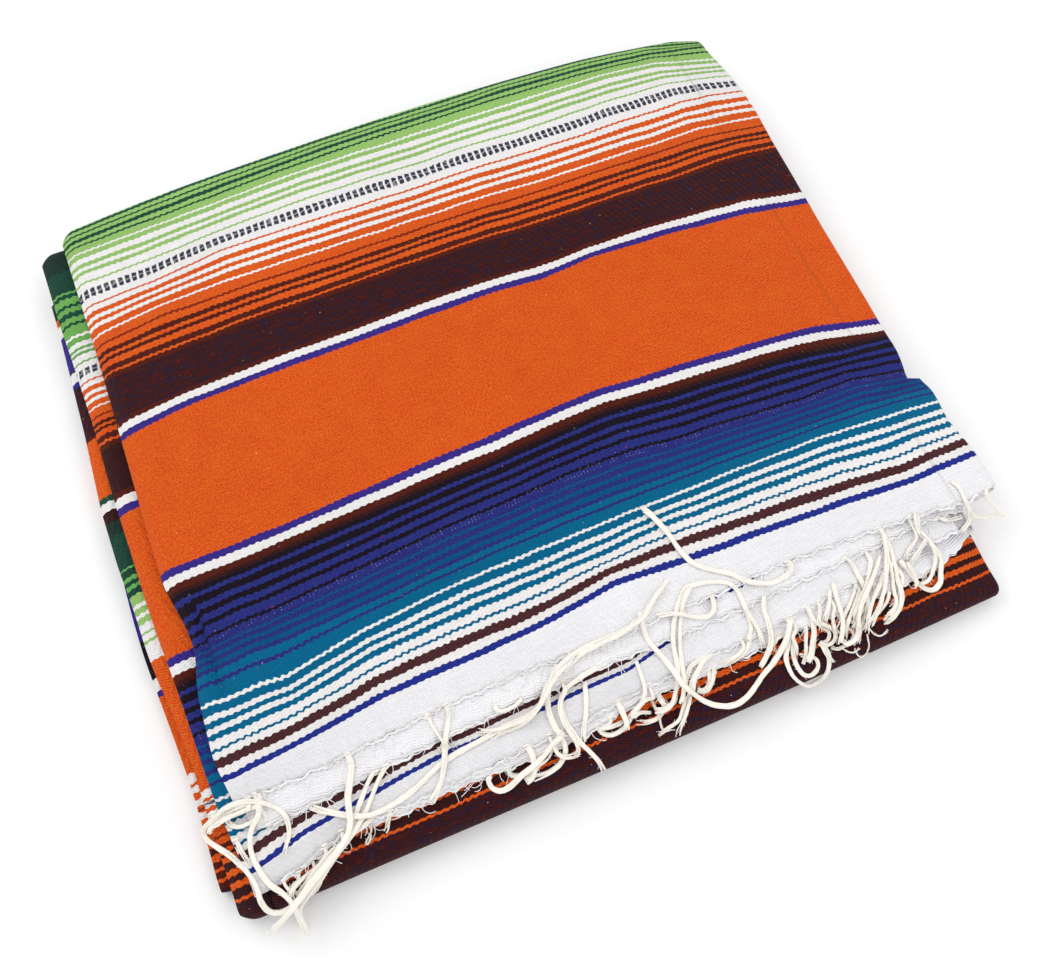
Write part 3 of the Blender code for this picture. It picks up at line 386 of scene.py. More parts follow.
def top_section(y):
    """Both sides of the top layer at y: its upper half, its width fold, then its lower half."""
    left, right = left_edge(y, "top"), right_edge(y) + notch(y)
    front = open_end(y)
    top_right = level(right - 0.008, y, "top")
    under_right = level(right - 0.008, y, "under_top") - CLOTH
    radius = 0.5 * LAYER * (1.0 - front) + 0.5 * (top_right - under_right) * front
    flat_end = right - radius
    outer, inner = [], []
    for x in [left + run for run in TOP_RUN] + list(ACROSS):
        x = min(x, flat_end)
        z = level(x, y, "top") - edge_droop(x - left, y) + creases(x, y)
        outer.append((x, z))
        inner.append((x, z - CLOTH))
    top_z = level(flat_end, y, "top")
    width_fold(outer, inner, flat_end, top_z, radius)
    low_z = top_z - 2 * radius
    lower = [flat_end - step for step in FOLD_STEPS] + [min(x, flat_end - 0.007) for x in reversed(ACROSS)]
    lower += [left + run for run in (0.018, 0.012, 0.006)]
    for x in lower:
        z = level(x, y, "under_top") - CLOTH
        z += (low_z - z) * (1.0 - front + front * smooth(0.581, flat_end, x))
        outer.append((x, z))
        inner.append((x, z + CLOTH))
    return both(outer, inner)


def top_grid():
    """Points (side, column, row, xyz) of the top layer."""
    sections = [top_section(sample_y(share)) for share in SHARES]
    count = sections[0].shape[1]
    under = np.clip((np.arange(count) - TOP_UPPER) / (len(FOLD_ANGLES) - 1.0), 0.0, 1.0)
    lines = []
    for share, section in zip(SHARES, sections):
        x, z = section[..., 0], section[..., 1]
        y = row_y(x, share)
        if share <= UNDER_SHARE + 1e-9:
            low_y = UNDER_TOP_START + (hem(x, "under_top") - UNDER_TOP_START) * (1.0 - share / UNDER_SHARE)
            y = y + (low_y - y) * under
        lines.append(np.stack((x, y, z), -1))
    x, z = sections[-1][..., 0], sections[-1][..., 1]
    above = z - fold_top(x)
    below = fold_top(x) - np.maximum(0.0, level(x, back_centre(x), "top") - z)
    for angle in BACK_ANGLES:
        lines.append(wrap_back(x, angle, above, below))
    last = lines[-1].copy()
    for step in (0.005, TUCK):
        following = last.copy()
        following[..., 1] = back_centre(x) - step
        lines.append(following)
    return np.stack(lines, 2)


def strip_columns(left, limit):
    """x of the columns of a strip: close together at its soft edge, then four more to its limit."""
    start = left + DROOP_RUN
    return [left + run for run in LEFT_RUN] + [start + (limit - start) * k / 4 for k in (1, 2, 3, 4)]


def strip_rows(back_y):
    """Rows of a low layer's strip from back_y forward, each as y and its share on the top layer."""
    return [(sample_y(share), share) for share in SHARES[::-1] if SECOND_START < sample_y(share) < back_y]


def placed(section, y, share=None):
    """A section as a line of points: in a row of the top layer if a share is given, else straight at y."""
    x, z = section[..., 0], section[..., 1]
    return np.stack((x, np.full_like(x, y) if share is None else row_y(x, share), z), -1)


def second_line(y):
    """Both sides of the second layer at y: its strip, its upper half, its width fold, then its lower half."""
    left, right = left_edge(y, "second"), right_edge(y, "second")
    limit = wall_limit(y, "top") - SEAM
    outer, inner = [], []
    for x in strip_columns(left, limit) + [0.5 * (limit + ACROSS_LOW[0])] + list(ACROSS_LOW):
        z = level(x, y, "second") - edge_droop(x - left, y)
        outer.append((x, z))
        inner.append((x, z - CLOTH))
    top_right = level(right - 0.006, y, "second")
    low_right = level(right - 0.006, y, "under_second") - CLOTH
    radius = 0.5 * (top_right - low_right)
    width_fold(outer, inner, right - radius, top_right, radius)
    for x in list(reversed(ACROSS_LOW)) + [0.018, 0.012, 0.003, left + 0.004]:
        z = level(x, y, "under_second") - CLOTH
        z += (top_right - 2 * radius - z) * smooth(0.560, 0.572, x)
        outer.append((x, z))
        inner.append((x, z + CLOTH))
    return both(outer, inner)


def second_grid():
    """Points of the second layer: its front strip, then the strip along its left edge and round the back."""
    whole = second_line(-0.500)
    upper = STRIP + 1 + len(ACROSS_LOW)
    count = whole.shape[1]
    under = np.clip((np.arange(count) - upper) / (len(FOLD_ANGLES) - 1.0), 0.0, 1.0)
    stop = SECOND_START * (1.0 - under) + UNDER_SECOND_START * under
    lines = []
    for k in range(SECOND_ROWS + 1):
        x, z = whole[..., 0].copy(), whole[..., 1].copy()
        start = hem(x, "second") * (1.0 - under) + hem(x, "under_second") * under
        y = start + (stop - start) * k / SECOND_ROWS
        near = second_line(float(np.mean(y[0, :STRIP])))[:, :STRIP]
        x[:, :STRIP], z[:, :STRIP] = near[..., 0], near[..., 1]
        lines.append(np.stack((x, y, z), -1))
    for share in (share for share in SHARES if sample_y(share) > SECOND_START + 0.003):
        strip = second_line(sample_y(share))[:, :STRIP]
        x, z = np.concatenate((strip, np.repeat(strip[:, -1:], count - STRIP, 1)), 1).transpose(2, 0, 1)
        lines.append(np.stack((x, row_y(x, share), z), -1))
    above = z - fold_top(x)
    for angle in INNER_TURN:
        lines.append(wrap_back(x, angle, above, above))
    return np.stack(lines, 2)


def third_line(y):
    """Both sides of the third layer at y: its strip, the flat part and its width fold."""
    left, right = left_edge(y, "third"), right_edge(y, "third")
    limit = wall_limit(y, "second") - SEAM
    flat_end = right - THIRD_RADIUS
    outer, inner = [], []
    for x in strip_columns(left, limit) + [0.003, 0.009, 0.015] + list(ACROSS_LOW):
        z = level(x, y, "third") - edge_droop(x - left, 0.0)
        outer.append((x, z))
        inner.append((x, z - CLOTH))
    top_z = level(flat_end, y, "third")
    width_fold(outer, inner, flat_end, top_z, THIRD_RADIUS)
    for step in FOLD_STEPS:
        outer.append((flat_end - step, top_z - 2 * THIRD_RADIUS))
        inner.append((flat_end - step, top_z - 2 * THIRD_RADIUS + CLOTH))
    return both(outer, inner)


def third_grid():
    """Points of the low fold's cloth, from the back to the floor, and how many rows are strip only."""
    rows = strip_rows(THIRD_BACK_Y + 0.006)
    rows += [(y, None) for y in (SECOND_START, -0.479, -0.483, -0.487, -0.491, -0.495, -0.500, -0.5048)]
    only_strip = len(rows)
    rows += [(y, None) for y in np.linspace(THIRD_START, -0.545, 12)]
    lines = [placed(third_line(y), y, share) for y, share in rows]
    section = third_line(-0.548)
    x, z = section[..., 0], section[..., 1]
    lines.append(np.stack((x, front_centre(x), z), -1))
    for angle in FRONT_ANGLES:
        lines.append(wrap_front(x, angle, z - 0.5 * fold_top(x)))
    last = lines[-1].copy()
    last[..., 1] = front_centre(x) + FRONT_LIP
    lines.append(last)
    return np.stack(lines, 2), only_strip


def inner_line(y):
    """x and z of the inner cloth's strip at y."""
    left = left_edge(y, "inner")
    limit = max(wall_limit(y, "third") - SEAM, left + 0.0085)
    xs = np.array([left, left + 0.0006, left + 0.0015, left + 0.003, left + 0.0045, left + 0.006,
                   0.5 * (left + 0.006 + limit), limit])
    return xs, level(xs, y, "inner") - 0.3 * edge_droop(xs - left, 0.0)


def inner_grid():
    """Points of the inner cloth's strip, from the back to the floor under its fold."""
    rows = strip_rows(INNER_BACK_Y)
    rows += [(y, None) for y in np.linspace(SECOND_START, INNER_FRONT_Y + 0.006, 18)]
    lines = []
    for y, share in rows:
        x, z = inner_line(y)
        lines.append(placed(np.stack((np.stack((x, x)), np.stack((z, z - CLOTH))), -1), y, share))
    x, y, z = (lines[-1][..., k] for k in range(3))
    middle = 0.25 * fold_top(x)
    height = z - middle
    for angle in INNER_ANGLES:
        turned = math.radians(angle)
        lines.append(np.stack((x, y - height * math.cos(turned), middle + height * math.sin(turned)), -1))
    last = lines[-1].copy()
    last[..., 1] = y + 0.006
    lines.append(last)
    return np.stack(lines, 2)


# ---- meshes --------------------------------------------------------------------------------------
def lengths(points, axis):
    """Running length along an axis of a (column, row, xyz) grid."""
    step = np.linalg.norm(np.diff(points, axis=axis), axis=-1)
    start = np.zeros_like(points[:1, :, 0] if axis == 0 else points[:, :1, 0])
    return np.concatenate((start, np.cumsum(step, axis)), axis)


def make_piece(name, vertices, faces, *materials):
    """A mesh object in the scene, with its materials."""
    mesh = bpy.data.meshes.new(name)
    mesh.from_pydata(vertices.tolist() if hasattr(vertices, "tolist") else vertices, [], faces)
    for material in materials:
        mesh.materials.append(material)
    piece = bpy.data.objects.new(name, mesh)
    bpy.context.collection.objects.link(piece)
    return piece


def add_maps(mesh, cloth, bake):
    """Where each corner lies on the woven pattern, in metres, and its place in the bake."""
    for layer_name, values in (("cloth", cloth), ("OFBake", bake)):
        layer = mesh.uv_layers.new(name=layer_name)
        layer.data.foreach_set("uv", np.array(values, dtype=np.float32).ravel())
    mesh.uv_layers["cloth"].active_render = True


# in the bake an outer side fills the lower part, its inner side a band above it, its rims a hairline
OUTER_SHARE, INNER_START, INNER_SHARE, RIM = 0.76, 0.78, 0.21, 0.0035
RIM_SHIFTS = ((0.0, -RIM), (RIM, 0.0), (0.0, RIM), (-RIM, 0.0))


def shell(name, grid, used, cloth_uv, blocks, material):
    """A closed thin sheet from the two sides of a grid; blocks place its parts side by side for the bake.

    blocks rows: first and last column, first and last row, then the rectangle of the outer side.
    """
    _, columns, rows, _ = grid.shape
    size = columns * rows
    vertices = grid.reshape(-1, 3) + np.array(FRAME)
    across = lengths(grid[0], 0).mean(1)
    along = lengths(grid[0], 1).mean(0)
    faces, cloth, bake = [], [], []

    def number(side, i, j):
        return side * size + i * rows + j

    def place(side, i, j, block):
        i0, i1, j0, j1, left, low, right, high = block
        u = left + (right - left) * (across[i] - across[i0]) / (across[i1] - across[i0])
        v = (along[j] - along[j0]) / (along[j1] - along[j0])
        if side:
            return (u, INNER_START + INNER_SHARE * (low + (high - low) * v))
        return (u, OUTER_SHARE * (low + (high - low) * v))

    for block in blocks:
        for i in range(block[0], block[1]):
            for j in range(block[2], block[3]):
                if not used(i, j):
                    continue
                corners = ((i, j), (i + 1, j), (i + 1, j + 1), (i, j + 1))
                for side, order in ((0, corners), (1, corners[::-1])):
                    faces.append([number(side, a, b) for a, b in order])
                    cloth += [cloth_uv[a][b] for a, b in order]
                    bake += [place(side, a, b, block) for a, b in order]
                borders = ((corners[0], corners[1], (i, j - 1)), (corners[1], corners[2], (i + 1, j)),
                           (corners[2], corners[3], (i, j + 1)), (corners[3], corners[0], (i - 1, j)))
                for ((a, b), (c, d), (k, m)), (dx, dy) in zip(borders, RIM_SHIFTS):
                    if 0 <= k < columns - 1 and 0 <= m < rows - 1 and used(k, m):
                        continue
                    faces.append([number(0, c, d), number(0, a, b), number(1, a, b), number(1, c, d)])
                    cloth += [cloth_uv[c][d], cloth_uv[a][b], cloth_uv[a][b], cloth_uv[c][d]]
                    first, second = place(0, c, d, block), place(0, a, b, block)
                    bake += [first, second, (second[0] + dx, second[1] + dy), (first[0] + dx, first[1] + dy)]
    keep = sorted({v for face in faces for v in face})
    renumber = {old: new for new, old in enumerate(keep)}
    piece = make_piece(name, vertices[keep], [[renumber[v] for v in face] for face in faces], material)
    add_maps(piece.data, cloth, bake)
    piece.data.shade_smooth()
    return piece


# ---- colours and stripes -------------------------------------------------------------------------
# red, green and blue from 0 to 255
SHADES = {
    "orange": (227, 92, 26), "white": (243, 240, 239), "hem": (251, 250, 253), "violet": (58, 43, 138),
    "royal": (36, 50, 146), "blue": (42, 48, 126), "teal": (0, 104, 146), "deep": (4, 84, 136),
    "plum": (42, 50, 126), "dark": (56, 22, 22), "maroon": (84, 28, 18), "black": (24, 15, 30),
    # light_in_shade is the light green painted darker for the shaded second layer: painted shade
    "umber": (78, 42, 44), "light": (155, 199, 112), "light_in_shade": (114, 176, 88), "green": (104, 180, 92),
    "forest": (22, 78, 58), "pine": (28, 70, 56), "night": (32, 52, 46), "rust": (132, 40, 20),
    "crimson": (206, 58, 52), "sky": (112, 130, 200), "navy": (38, 28, 58), "wine": (88, 22, 18),
    "ink": (52, 58, 74), "spark": (170, 182, 226), "fluff": (250, 206, 160), "lint": (176, 44, 24),
    "cream": (251, 246, 238), "thread": (249, 248, 250),
}

# the top cloth: where each stripe starts, in millimetres from the hem, and its shade
MAIN = (
    (-40, "hem"), (33.0, "royal"), (37.7, "white"), (43.0, "umber"), (48.0, "white"), (51.3, "teal"),
    (53.0, "white"), (57.7, "teal"), (61.0, "white"), (64.7, "teal"), (68.0, "white"), (72.0, "teal"),
    (77.5, "white"), (80.0, "teal"), (88.2, "plum"), (90.2, "teal"), (94.5, "plum"), (98.0, "deep"),
    (101.0, "plum"), (104.5, "deep"), (108.0, "plum"), (112.0, "deep"), (113.5, "blue"), (120.7, "black"),
    (123.0, "blue"), (128.5, "black"), (131.5, "blue"), (135.5, "black"), (139.5, "blue"),
    (143.0, "black"), (148.3, "blue"), (150.3, "black"), (154.6, "dark"), (157.2, "maroon"),
    (162.3, "white"), (168.9, "sky"), (169.2, "violet"), (174.7, "crimson"), (175.0, "orange"),
    (288.7, "crimson"), (289.0, "violet"), (294.2, "sky"), (294.5, "white"), (301.0, "maroon"),
    (305.0, "dark"), (337.0, "maroon"), (341.2, "orange"), (343.7, "maroon"), (347.7, "orange"),
    (352.5, "maroon"), (355.5, "orange"), (359.2, "maroon"), (363.0, "orange"), (369.0, "rust"),
    (370.7, "orange"), (379.0, "white"), (380.7, "orange"), (388.2, "white"), (392.0, "orange"),
    (396.2, "white"), (400.2, "orange"), (404.0, "white"), (410.0, "orange"), (412.0, "white"),
    (434.8, "light"), (436.3, "white"), (443.5, "light"), (447.5, "white"), (451.5, "light"),
    (455.5, "white"), (460.5, "light"), (465.3, "white"), (467.1, "light"), (473.7, "forest"),
    (475.6, "light"), (480.1, "forest"), (483.0, "light"), (486.8, "forest"), (489.2, "light"),
    (492.8, "forest"), (495.6, "light"), (497.4, "pine"), (520.0, "night"), (560.0, "pine"),
    (640.0, "orange"),
)
# on the second layer, which lies in shade under the top layer, the light green is painted darker: painted
# shade
SECOND = tuple((at, "light_in_shade" if shade == "light" else shade) for at, shade in MAIN)
# the same for the low fold and its inner cloth, in millimetres forward of the stack's back
LOW = (
    (-60, "pine"), (20.0, "night"), (58.0, "orange"), (66.0, "white"), (77.0, "violet"), (111.0, "umber"),
    (113.0, "white"), (122.0, "royal"), (128.0, "dark"), (175.0, "maroon"), (178.0, "orange"),
    (229.0, "forest"), (234.0, "white"), (241.0, "dark"), (251.0, "night"), (262.0, "pine"),
    (291.0, "green"), (292.6, "pine"), (299.0, "green"), (301.0, "pine"), (305.0, "green"),
    (308.0, "pine"), (312.0, "light"), (320.5, "white"), (323.0, "light"), (328.0, "white"),
    (332.0, "light"), (336.0, "white"), (342.0, "light"), (344.0, "white"), (350.0, "light"),
    (351.6, "white"), (365.0, "orange"), (466.0, "white"), (471.5, "orange"), (473.5, "white"),
    (478.0, "orange"), (481.0, "white"), (485.0, "orange"), (489.0, "white"), (492.5, "orange"),
    (498.0, "rust"), (500.0, "orange"), (504.0, "maroon"), (507.0, "orange"), (510.0, "dark"),
    (512.5, "orange"), (517.0, "dark"), (522.0, "orange"), (526.0, "dark"), (530.7, "orange"),
    (535.0, "dark"), (541.4, "orange"), (543.4, "dark"), (620.0, "maroon"),
)
INNER = (
    (-60, "violet"), (345.0, "black"), (376.0, "white"), (384.0, "violet"), (390.0, "orange"),
    (450.0, "white"), (455.0, "orange"), (459.0, "white"), (463.0, "orange"), (468.0, "white"),
    (473.0, "orange"), (477.0, "white"), (481.0, "orange"), (503.0, "maroon"), (507.0, "orange"),
    (511.0, "maroon"), (515.0, "orange"), (519.0, "maroon"), (523.0, "orange"), (526.0, "maroon"),
    (530.0, "dark"),
)
# where other yarns show, each from and to a distance in millimetres
CHECKS = ((420.0, 424.0), (424.4, 428.4))                 # two rows of dashes
DOTS = (117.0, 122.0)                                     # rows of small dots
STREAKED = ((305.0, 337.0),)                              # navy and wine streaks
LOW_STREAKED = ((128.0, 175.0), (543.4, 620.0))
CHECK_STEP = 5.8          # from dash to dash, millimetres
CHECK_EDGE = 0.3          # half the width of a dash row's soft edge
DOT_STEP, DOT_ROW = 2.7, 2.1                              # from dot to dot and from row to row
SCALLOP = 0.0054          # length of the beaten yarns' soft scallops, metres
TWILL = 0.00198           # spacing of the twill ribs
RAMP_LENGTH = 30          # stripes that one colour ramp holds


def linear(shade):
    """A shade's colour as the shader takes it."""
    out = []
    for value in SHADES[shade]:
        value = value / 255.0
        out.append(value / 12.92 if value <= 0.04045 else ((value + 0.055) / 1.055) ** 2.4)
    return (*out, 1.0)


class Tree:
    """Short names for building a material's nodes; a value is a number or the output of another node."""

    def __init__(self, name, roughness, sheen):
        self.material = bpy.data.materials.new(name)
        self.material.use_nodes = True
        self.nodes = self.material.node_tree.nodes
        self.links = self.material.node_tree.links
        self.shader = self.nodes["Principled BSDF"]
        self.shader.inputs["Roughness"].default_value = roughness
        self.shader.inputs["Specular IOR Level"].default_value = 0.12
        self.shader.inputs["Sheen Weight"].default_value = sheen
        self.shader.inputs["Sheen Roughness"].default_value = 0.45

    def put(self, socket, value):
        if isinstance(value, bpy.types.NodeSocket):
            self.links.new(value, socket)
        else:
            socket.default_value = value

    def math(self, operation, a, b=0.0, c=0.0):
        node = self.nodes.new("ShaderNodeMath")
        node.operation = operation
        for socket, value in zip(node.inputs, (a, b, c)):
            self.put(socket, value)
        return node.outputs[0]

    def product(self, *values):
        result = values[0]
        for value in values[1:]:
            result = self.math("MULTIPLY", result, value)
        return result

    def wave(self, along, length, phase):
        return self.math("SINE", self.math("MULTIPLY_ADD", along, 2.0 * math.pi / length, phase))

    def turns(self, along, step, phase=0.0):
        """Runs from 0 to 1 over each step, which is given in millimetres."""
        return self.math("FRACT", self.math("MULTIPLY_ADD", along, 1000.0 / step, phase))

    def between(self, value, low, high):
        """1 between two places given in millimetres, 0 outside."""
        return self.product(self.math("GREATER_THAN", value, low / 1000.0),
                            self.math("LESS_THAN", value, high / 1000.0))

    def vector(self, x, y, z=0.0):
        node = self.nodes.new("ShaderNodeCombineXYZ")
        for socket, value in zip(node.inputs, (x, y, z)):
            self.put(socket, value)
        return node.outputs[0]

    def noise(self, where, scale, detail=2.0, rough=0.5):
        node = self.nodes.new("ShaderNodeTexNoise")
        node.inputs["Scale"].default_value = scale
        node.inputs["Detail"].default_value = detail
        node.inputs["Roughness"].default_value = rough
        self.links.new(where, node.inputs["Vector"])
        return node.outputs["Fac"]

    def remap(self, value, low, high, to_low=0.0, to_high=1.0):
        node = self.nodes.new("ShaderNodeMapRange")
        for socket, given in zip(node.inputs, (value, low, high, to_low, to_high)):
            self.put(socket, given)
        return node.outputs[0]

    def blend(self, share, a, b):
        """From a to b as the share goes from 0 to 1."""
        return self.remap(share, 0.0, 1.0, a, b)

    def mix(self, factor, a, b, kind="MIX"):
        node = self.nodes.new("ShaderNodeMix")
        node.data_type = "RGBA"
        node.blend_type = kind
        self.put(node.inputs[0], factor)
        self.put(node.inputs[6], a)
        self.put(node.inputs[7], b)
        return node.outputs[2]

    def chart(self, along, table):
        """Colour of the stripe at a distance along the cloth, metres."""
        colour = None
        for k in range(0, len(table), RAMP_LENGTH):
            rows = table[k:k + RAMP_LENGTH]
            start, end = rows[0][0] / 1000.0, (rows[-1][0] + 1.0) / 1000.0
            ramp = self.nodes.new("ShaderNodeValToRGB")
            ramp.color_ramp.interpolation = "CONSTANT"
            elements = ramp.color_ramp.elements
            while len(elements) < len(rows):
                elements.new(0.5)
            for element, (at, shade) in zip(elements, rows):
                element.position = min(1.0, max(0.0, (at / 1000.0 - start) / (end - start)))
                element.color = linear(shade)
            self.links.new(self.remap(along, start, end), ramp.inputs[0])
            if colour is None:
                colour = ramp.outputs[0]
            else:
                colour = self.mix(self.math("GREATER_THAN", along, start), colour, ramp.outputs[0])
        return colour

    def bump(self, height, distance, strength):
        node = self.nodes.new("ShaderNodeBump")
        node.inputs["Strength"].default_value = strength
        node.inputs["Distance"].default_value = distance
        self.links.new(height, node.inputs["Height"])
        self.links.new(node.outputs[0], self.shader.inputs["Normal"])


def woven(name, table, checks=(), dots=None, streaked=()):
    """The striped cloth: its chart of stripes, with the wander, wear and relief of a coarse weave."""
    t = Tree(name, 0.95, 0.035)
    uv = t.nodes.new("ShaderNodeUVMap")
    uv.uv_map = "cloth"
    parts = t.nodes.new("ShaderNodeSeparateXYZ")
    t.links.new(uv.outputs[0], parts.inputs[0])
    across, along = parts.outputs[0], parts.outputs[1]
    here = t.vector(across, along)

    # the beaten yarns run in soft scallops, wander a little and are fuzzy at their edges
    wander = t.noise(t.vector(t.product(across, 0.5), along), 75.0)
    swell = t.wave(t.math("MULTIPLY_ADD", along, 0.45, across), SCALLOP, t.product(wander, 5.0))
    depth = t.remap(t.noise(here, 60.0, 1.0), 0.3, 0.7, 0.00020, 0.00058)
    shifted = t.math("MULTIPLY_ADD", swell, depth, along)
    for cause, reach in ((wander, 0.0024), (t.noise(here, 950.0), 0.0007)):
        shifted = t.math("ADD", t.math("MULTIPLY_ADD", cause, reach, shifted), -0.5 * reach)
    colour = t.chart(shifted, table)
    bright = t.nodes.new("ShaderNodeRGBToBW")
    t.links.new(colour, bright.inputs[0])
    pale = t.remap(bright.outputs[0], 0.45, 0.75)
    channels = t.nodes.new("ShaderNodeSeparateColor")
    t.links.new(colour, channels.inputs[0])
    green = t.remap(t.math("SUBTRACT", channels.outputs[1], channels.outputs[0]), 0.0, 0.1)

    # streaks of navy and wine yarns in the broad dark stripes
    streak = t.noise(t.vector(t.product(across, 0.22), along), 400.0, 3.0, 0.65)
    for low, high in streaked:
        inside = t.product(t.between(shifted, low, high), 0.75)
        for shade, start, end in (("navy", 0.50, 0.62), ("wine", 0.48, 0.36)):
            colour = t.mix(t.product(t.remap(streak, start, end), inside), colour, linear(shade))

    # rows of slanting dashes, then small pale dots in patches
    for k, (low, high) in enumerate(checks):
        inside = t.product(*(t.remap(shifted, (at - side) / 1000.0, (at + side) / 1000.0)
                             for at, side in ((low, CHECK_EDGE), (high, -CHECK_EDGE))))
        lean = t.math("MULTIPLY_ADD", along, -12.0, 0.05 * k)
        turn = t.turns(across, CHECK_STEP, t.math("MULTIPLY_ADD", wander, 0.5, lean))
        dash = t.remap(t.math("ABSOLUTE", t.math("SUBTRACT", turn, 0.5)), 0.37, 0.30)
        worn = t.remap(t.noise(here, 130.0), 0.30, 0.42, 0.70, 1.0)
        colour = t.mix(t.product(inside, dash, worn), colour, linear("ink"))
    if dots:
        dot = t.product(t.math("LESS_THAN", t.turns(across, DOT_STEP, wander), 0.30),
                        t.math("LESS_THAN", t.turns(shifted, DOT_ROW), 0.42))
        patch = t.remap(t.noise(here, 150.0, 3.0), 0.46, 0.62, 0.0, 0.45)
        colour = t.mix(t.product(t.between(shifted, *dots), dot, patch), colour, linear("spark"))

    # twill ribs, yarn to yarn differences, slow fading and loose flecks
    broken = t.noise(here, 700.0, 2.0, 0.6)
    lean = t.math("MULTIPLY_ADD", across, -0.10, 0.38)
    twill = t.wave(t.math("SUBTRACT", along, t.product(across, lean)), TWILL, t.product(wander, 2.0))
    yarns = t.noise(t.vector(t.product(across, 0.10), along), 620.0)
    cloud = t.noise(here, 55.0, 3.0, 0.6)
    tone = t.math("MULTIPLY_ADD", twill, 0.36, t.product(t.math("SUBTRACT", broken, 0.5), 4.8))
    tone = t.math("MULTIPLY_ADD", t.math("SUBTRACT", cloud, 0.5), 0.8, tone)
    gain = t.math("MULTIPLY_ADD", t.product(tone, t.blend(pale, 1.0, 0.55)), 0.085, t.blend(pale, 0.91, 0.96))
    gain = t.product(gain, t.remap(yarns, 0.25, 0.75, 0.94, 1.05),
                     t.remap(t.noise(here, 9.0, 3.0), 0.25, 0.75, 0.96, 1.03))
    # the hue swings a little too, but not on white and green, where it would show as brown
    swing = t.product(t.blend(pale, 1.0, 0.04), t.blend(green, 1.0, 0.06))
    warm = t.math("MULTIPLY_ADD", t.product(tone, swing), 0.62, 1.0)
    colour = t.mix(1.0, colour, t.vector(gain, t.product(gain, warm), gain), "MULTIPLY")
    for shade, scale, low, high, share in (("fluff", 430.0, 0.775, 0.80, 0.55),
                                           ("lint", 190.0, 0.235, 0.205, 0.35)):
        fleck = t.remap(t.noise(here, scale, 1.0), low, high, 0.0, share)
        colour = t.mix(fleck, colour, linear(shade))
    t.links.new(colour, t.shader.inputs["Base Color"])

    # relief of the ribs and scallops, and a rumpled hem
    height = t.math("MULTIPLY_ADD", twill, 0.38, t.product(broken, t.blend(pale, 0.8, 0.22)))
    height = t.math("MULTIPLY_ADD", swell, 0.45, height)
    rumple = t.noise(t.vector(t.product(across, 0.28), along), 80.0, 1.0)
    rumple = t.product(rumple, t.remap(along, 0.032, 0.022, 0.0, 2.8))
    t.bump(t.math("ADD", height, rumple), 0.0008, 0.75)
    return t.material


def yarn_material(name, shade):
    """Plain twisted yarn with a fine grain."""
    t = Tree(name, 0.9, 0.25)
    here = t.nodes.new("ShaderNodeTexCoord").outputs["Object"]
    grain = t.noise(here, 900.0, 3.0, 0.6)
    slow = t.noise(here, 60.0)
    gain = t.product(t.remap(grain, 0.25, 0.75, 0.96, 1.03), t.remap(slow, 0.25, 0.75, 0.98, 1.02))
    warm = t.remap(slow, 0.3, 0.7, 0.97, 1.0)
    colour = t.mix(1.0, linear(shade), t.vector(gain, gain, t.product(gain, warm)), "MULTIPLY")
    t.links.new(colour, t.shader.inputs["Base Color"])
    t.bump(grain, 0.0005, 0.6)
    return t.material


# ---- the photograph's camera, which also places the loose strands --------------------------------
AZIMUTH, ELEVATION, ROLL = -27.361, 66.803, 4.585             # degrees, fitted to the photograph
FOCAL, PICTURE = 1000.0, (1047.0, 960.0)                     # pixels
EYE = np.array((0.1333, -0.6107, 0.7365))                    # its place; its axes are RIGHT, UP and BACK
azimuth, elevation, roll = (math.radians(v) for v in (AZIMUTH, ELEVATION, ROLL))
BACK = np.array((math.sin(azimuth) * math.cos(elevation), -math.cos(azimuth) * math.cos(elevation),
                 math.sin(elevation)))
level_right = np.cross((0.0, 0.0, 1.0), BACK)
level_right /= np.linalg.norm(level_right)
level_up = np.cross(BACK, level_right)
RIGHT = math.cos(roll) * level_right + math.sin(roll) * level_up
UP = -math.sin(roll) * level_right + math.cos(roll) * level_up


# ---- the fringe ----------------------------------------------------------------------------------
BAR = 0.0034              # depth of the part's strip that carries the strands, just in front of each hem
THICK = 0.0020            # of a strand that lies flat
STRAND_WIDTH = 0.00114    # metres for one unit of width in STRANDS: a fluffy millimetre
FILAMENT = 0.00060        # width of a strand for each of its filaments
COURSE_STEP = 1.7         # pixels between the points of a strand's line
TALLEST, DOWN_STEP = 0.066, 0.0005    # a strand's height is looked for from here down, in these steps
ROOT_REACH = 0.016        # a strand that starts this near its hem is tied to it
ROOT_TUCK = 0.002         # how far its root lies inside the cloth
BELOW_FACE = 0.0001       # the top of a root lies this far under the cloth's face
STIFF = 0.0042            # length in which a strand stands straight out of the hem
FALL, CLIMB = 1.0, 0.9    # how steeply a strand falls and climbs at most
LOOP = 0.010              # a strand lies over itself where it comes back after more than this length
FRAY = 0.016              # length of its loosened end
KNOT = 0.0021             # radius of a knot, which a strand has from a width of KNOTTED on
KNOTTED = 0.002
KNOT_POINTS = 22
HAIR = 0.00013            # radius of the stray hairs
WISPS = 60                # short loose ends along each hem
WISP_STEP = 0.0011
# cells of the map of heights that the strands are laid on
MAP_STEP = 0.0015
MAP_X = np.arange(-0.075, 0.650, MAP_STEP)
MAP_Y = np.arange(-0.680, -0.330, MAP_STEP)
BAR_ENDS = {"under_second": (0.012, 0.570), "second": (0.014, 0.572), "under_top": (0.020, 0.582),
            "top": (0.007, 0.588)}
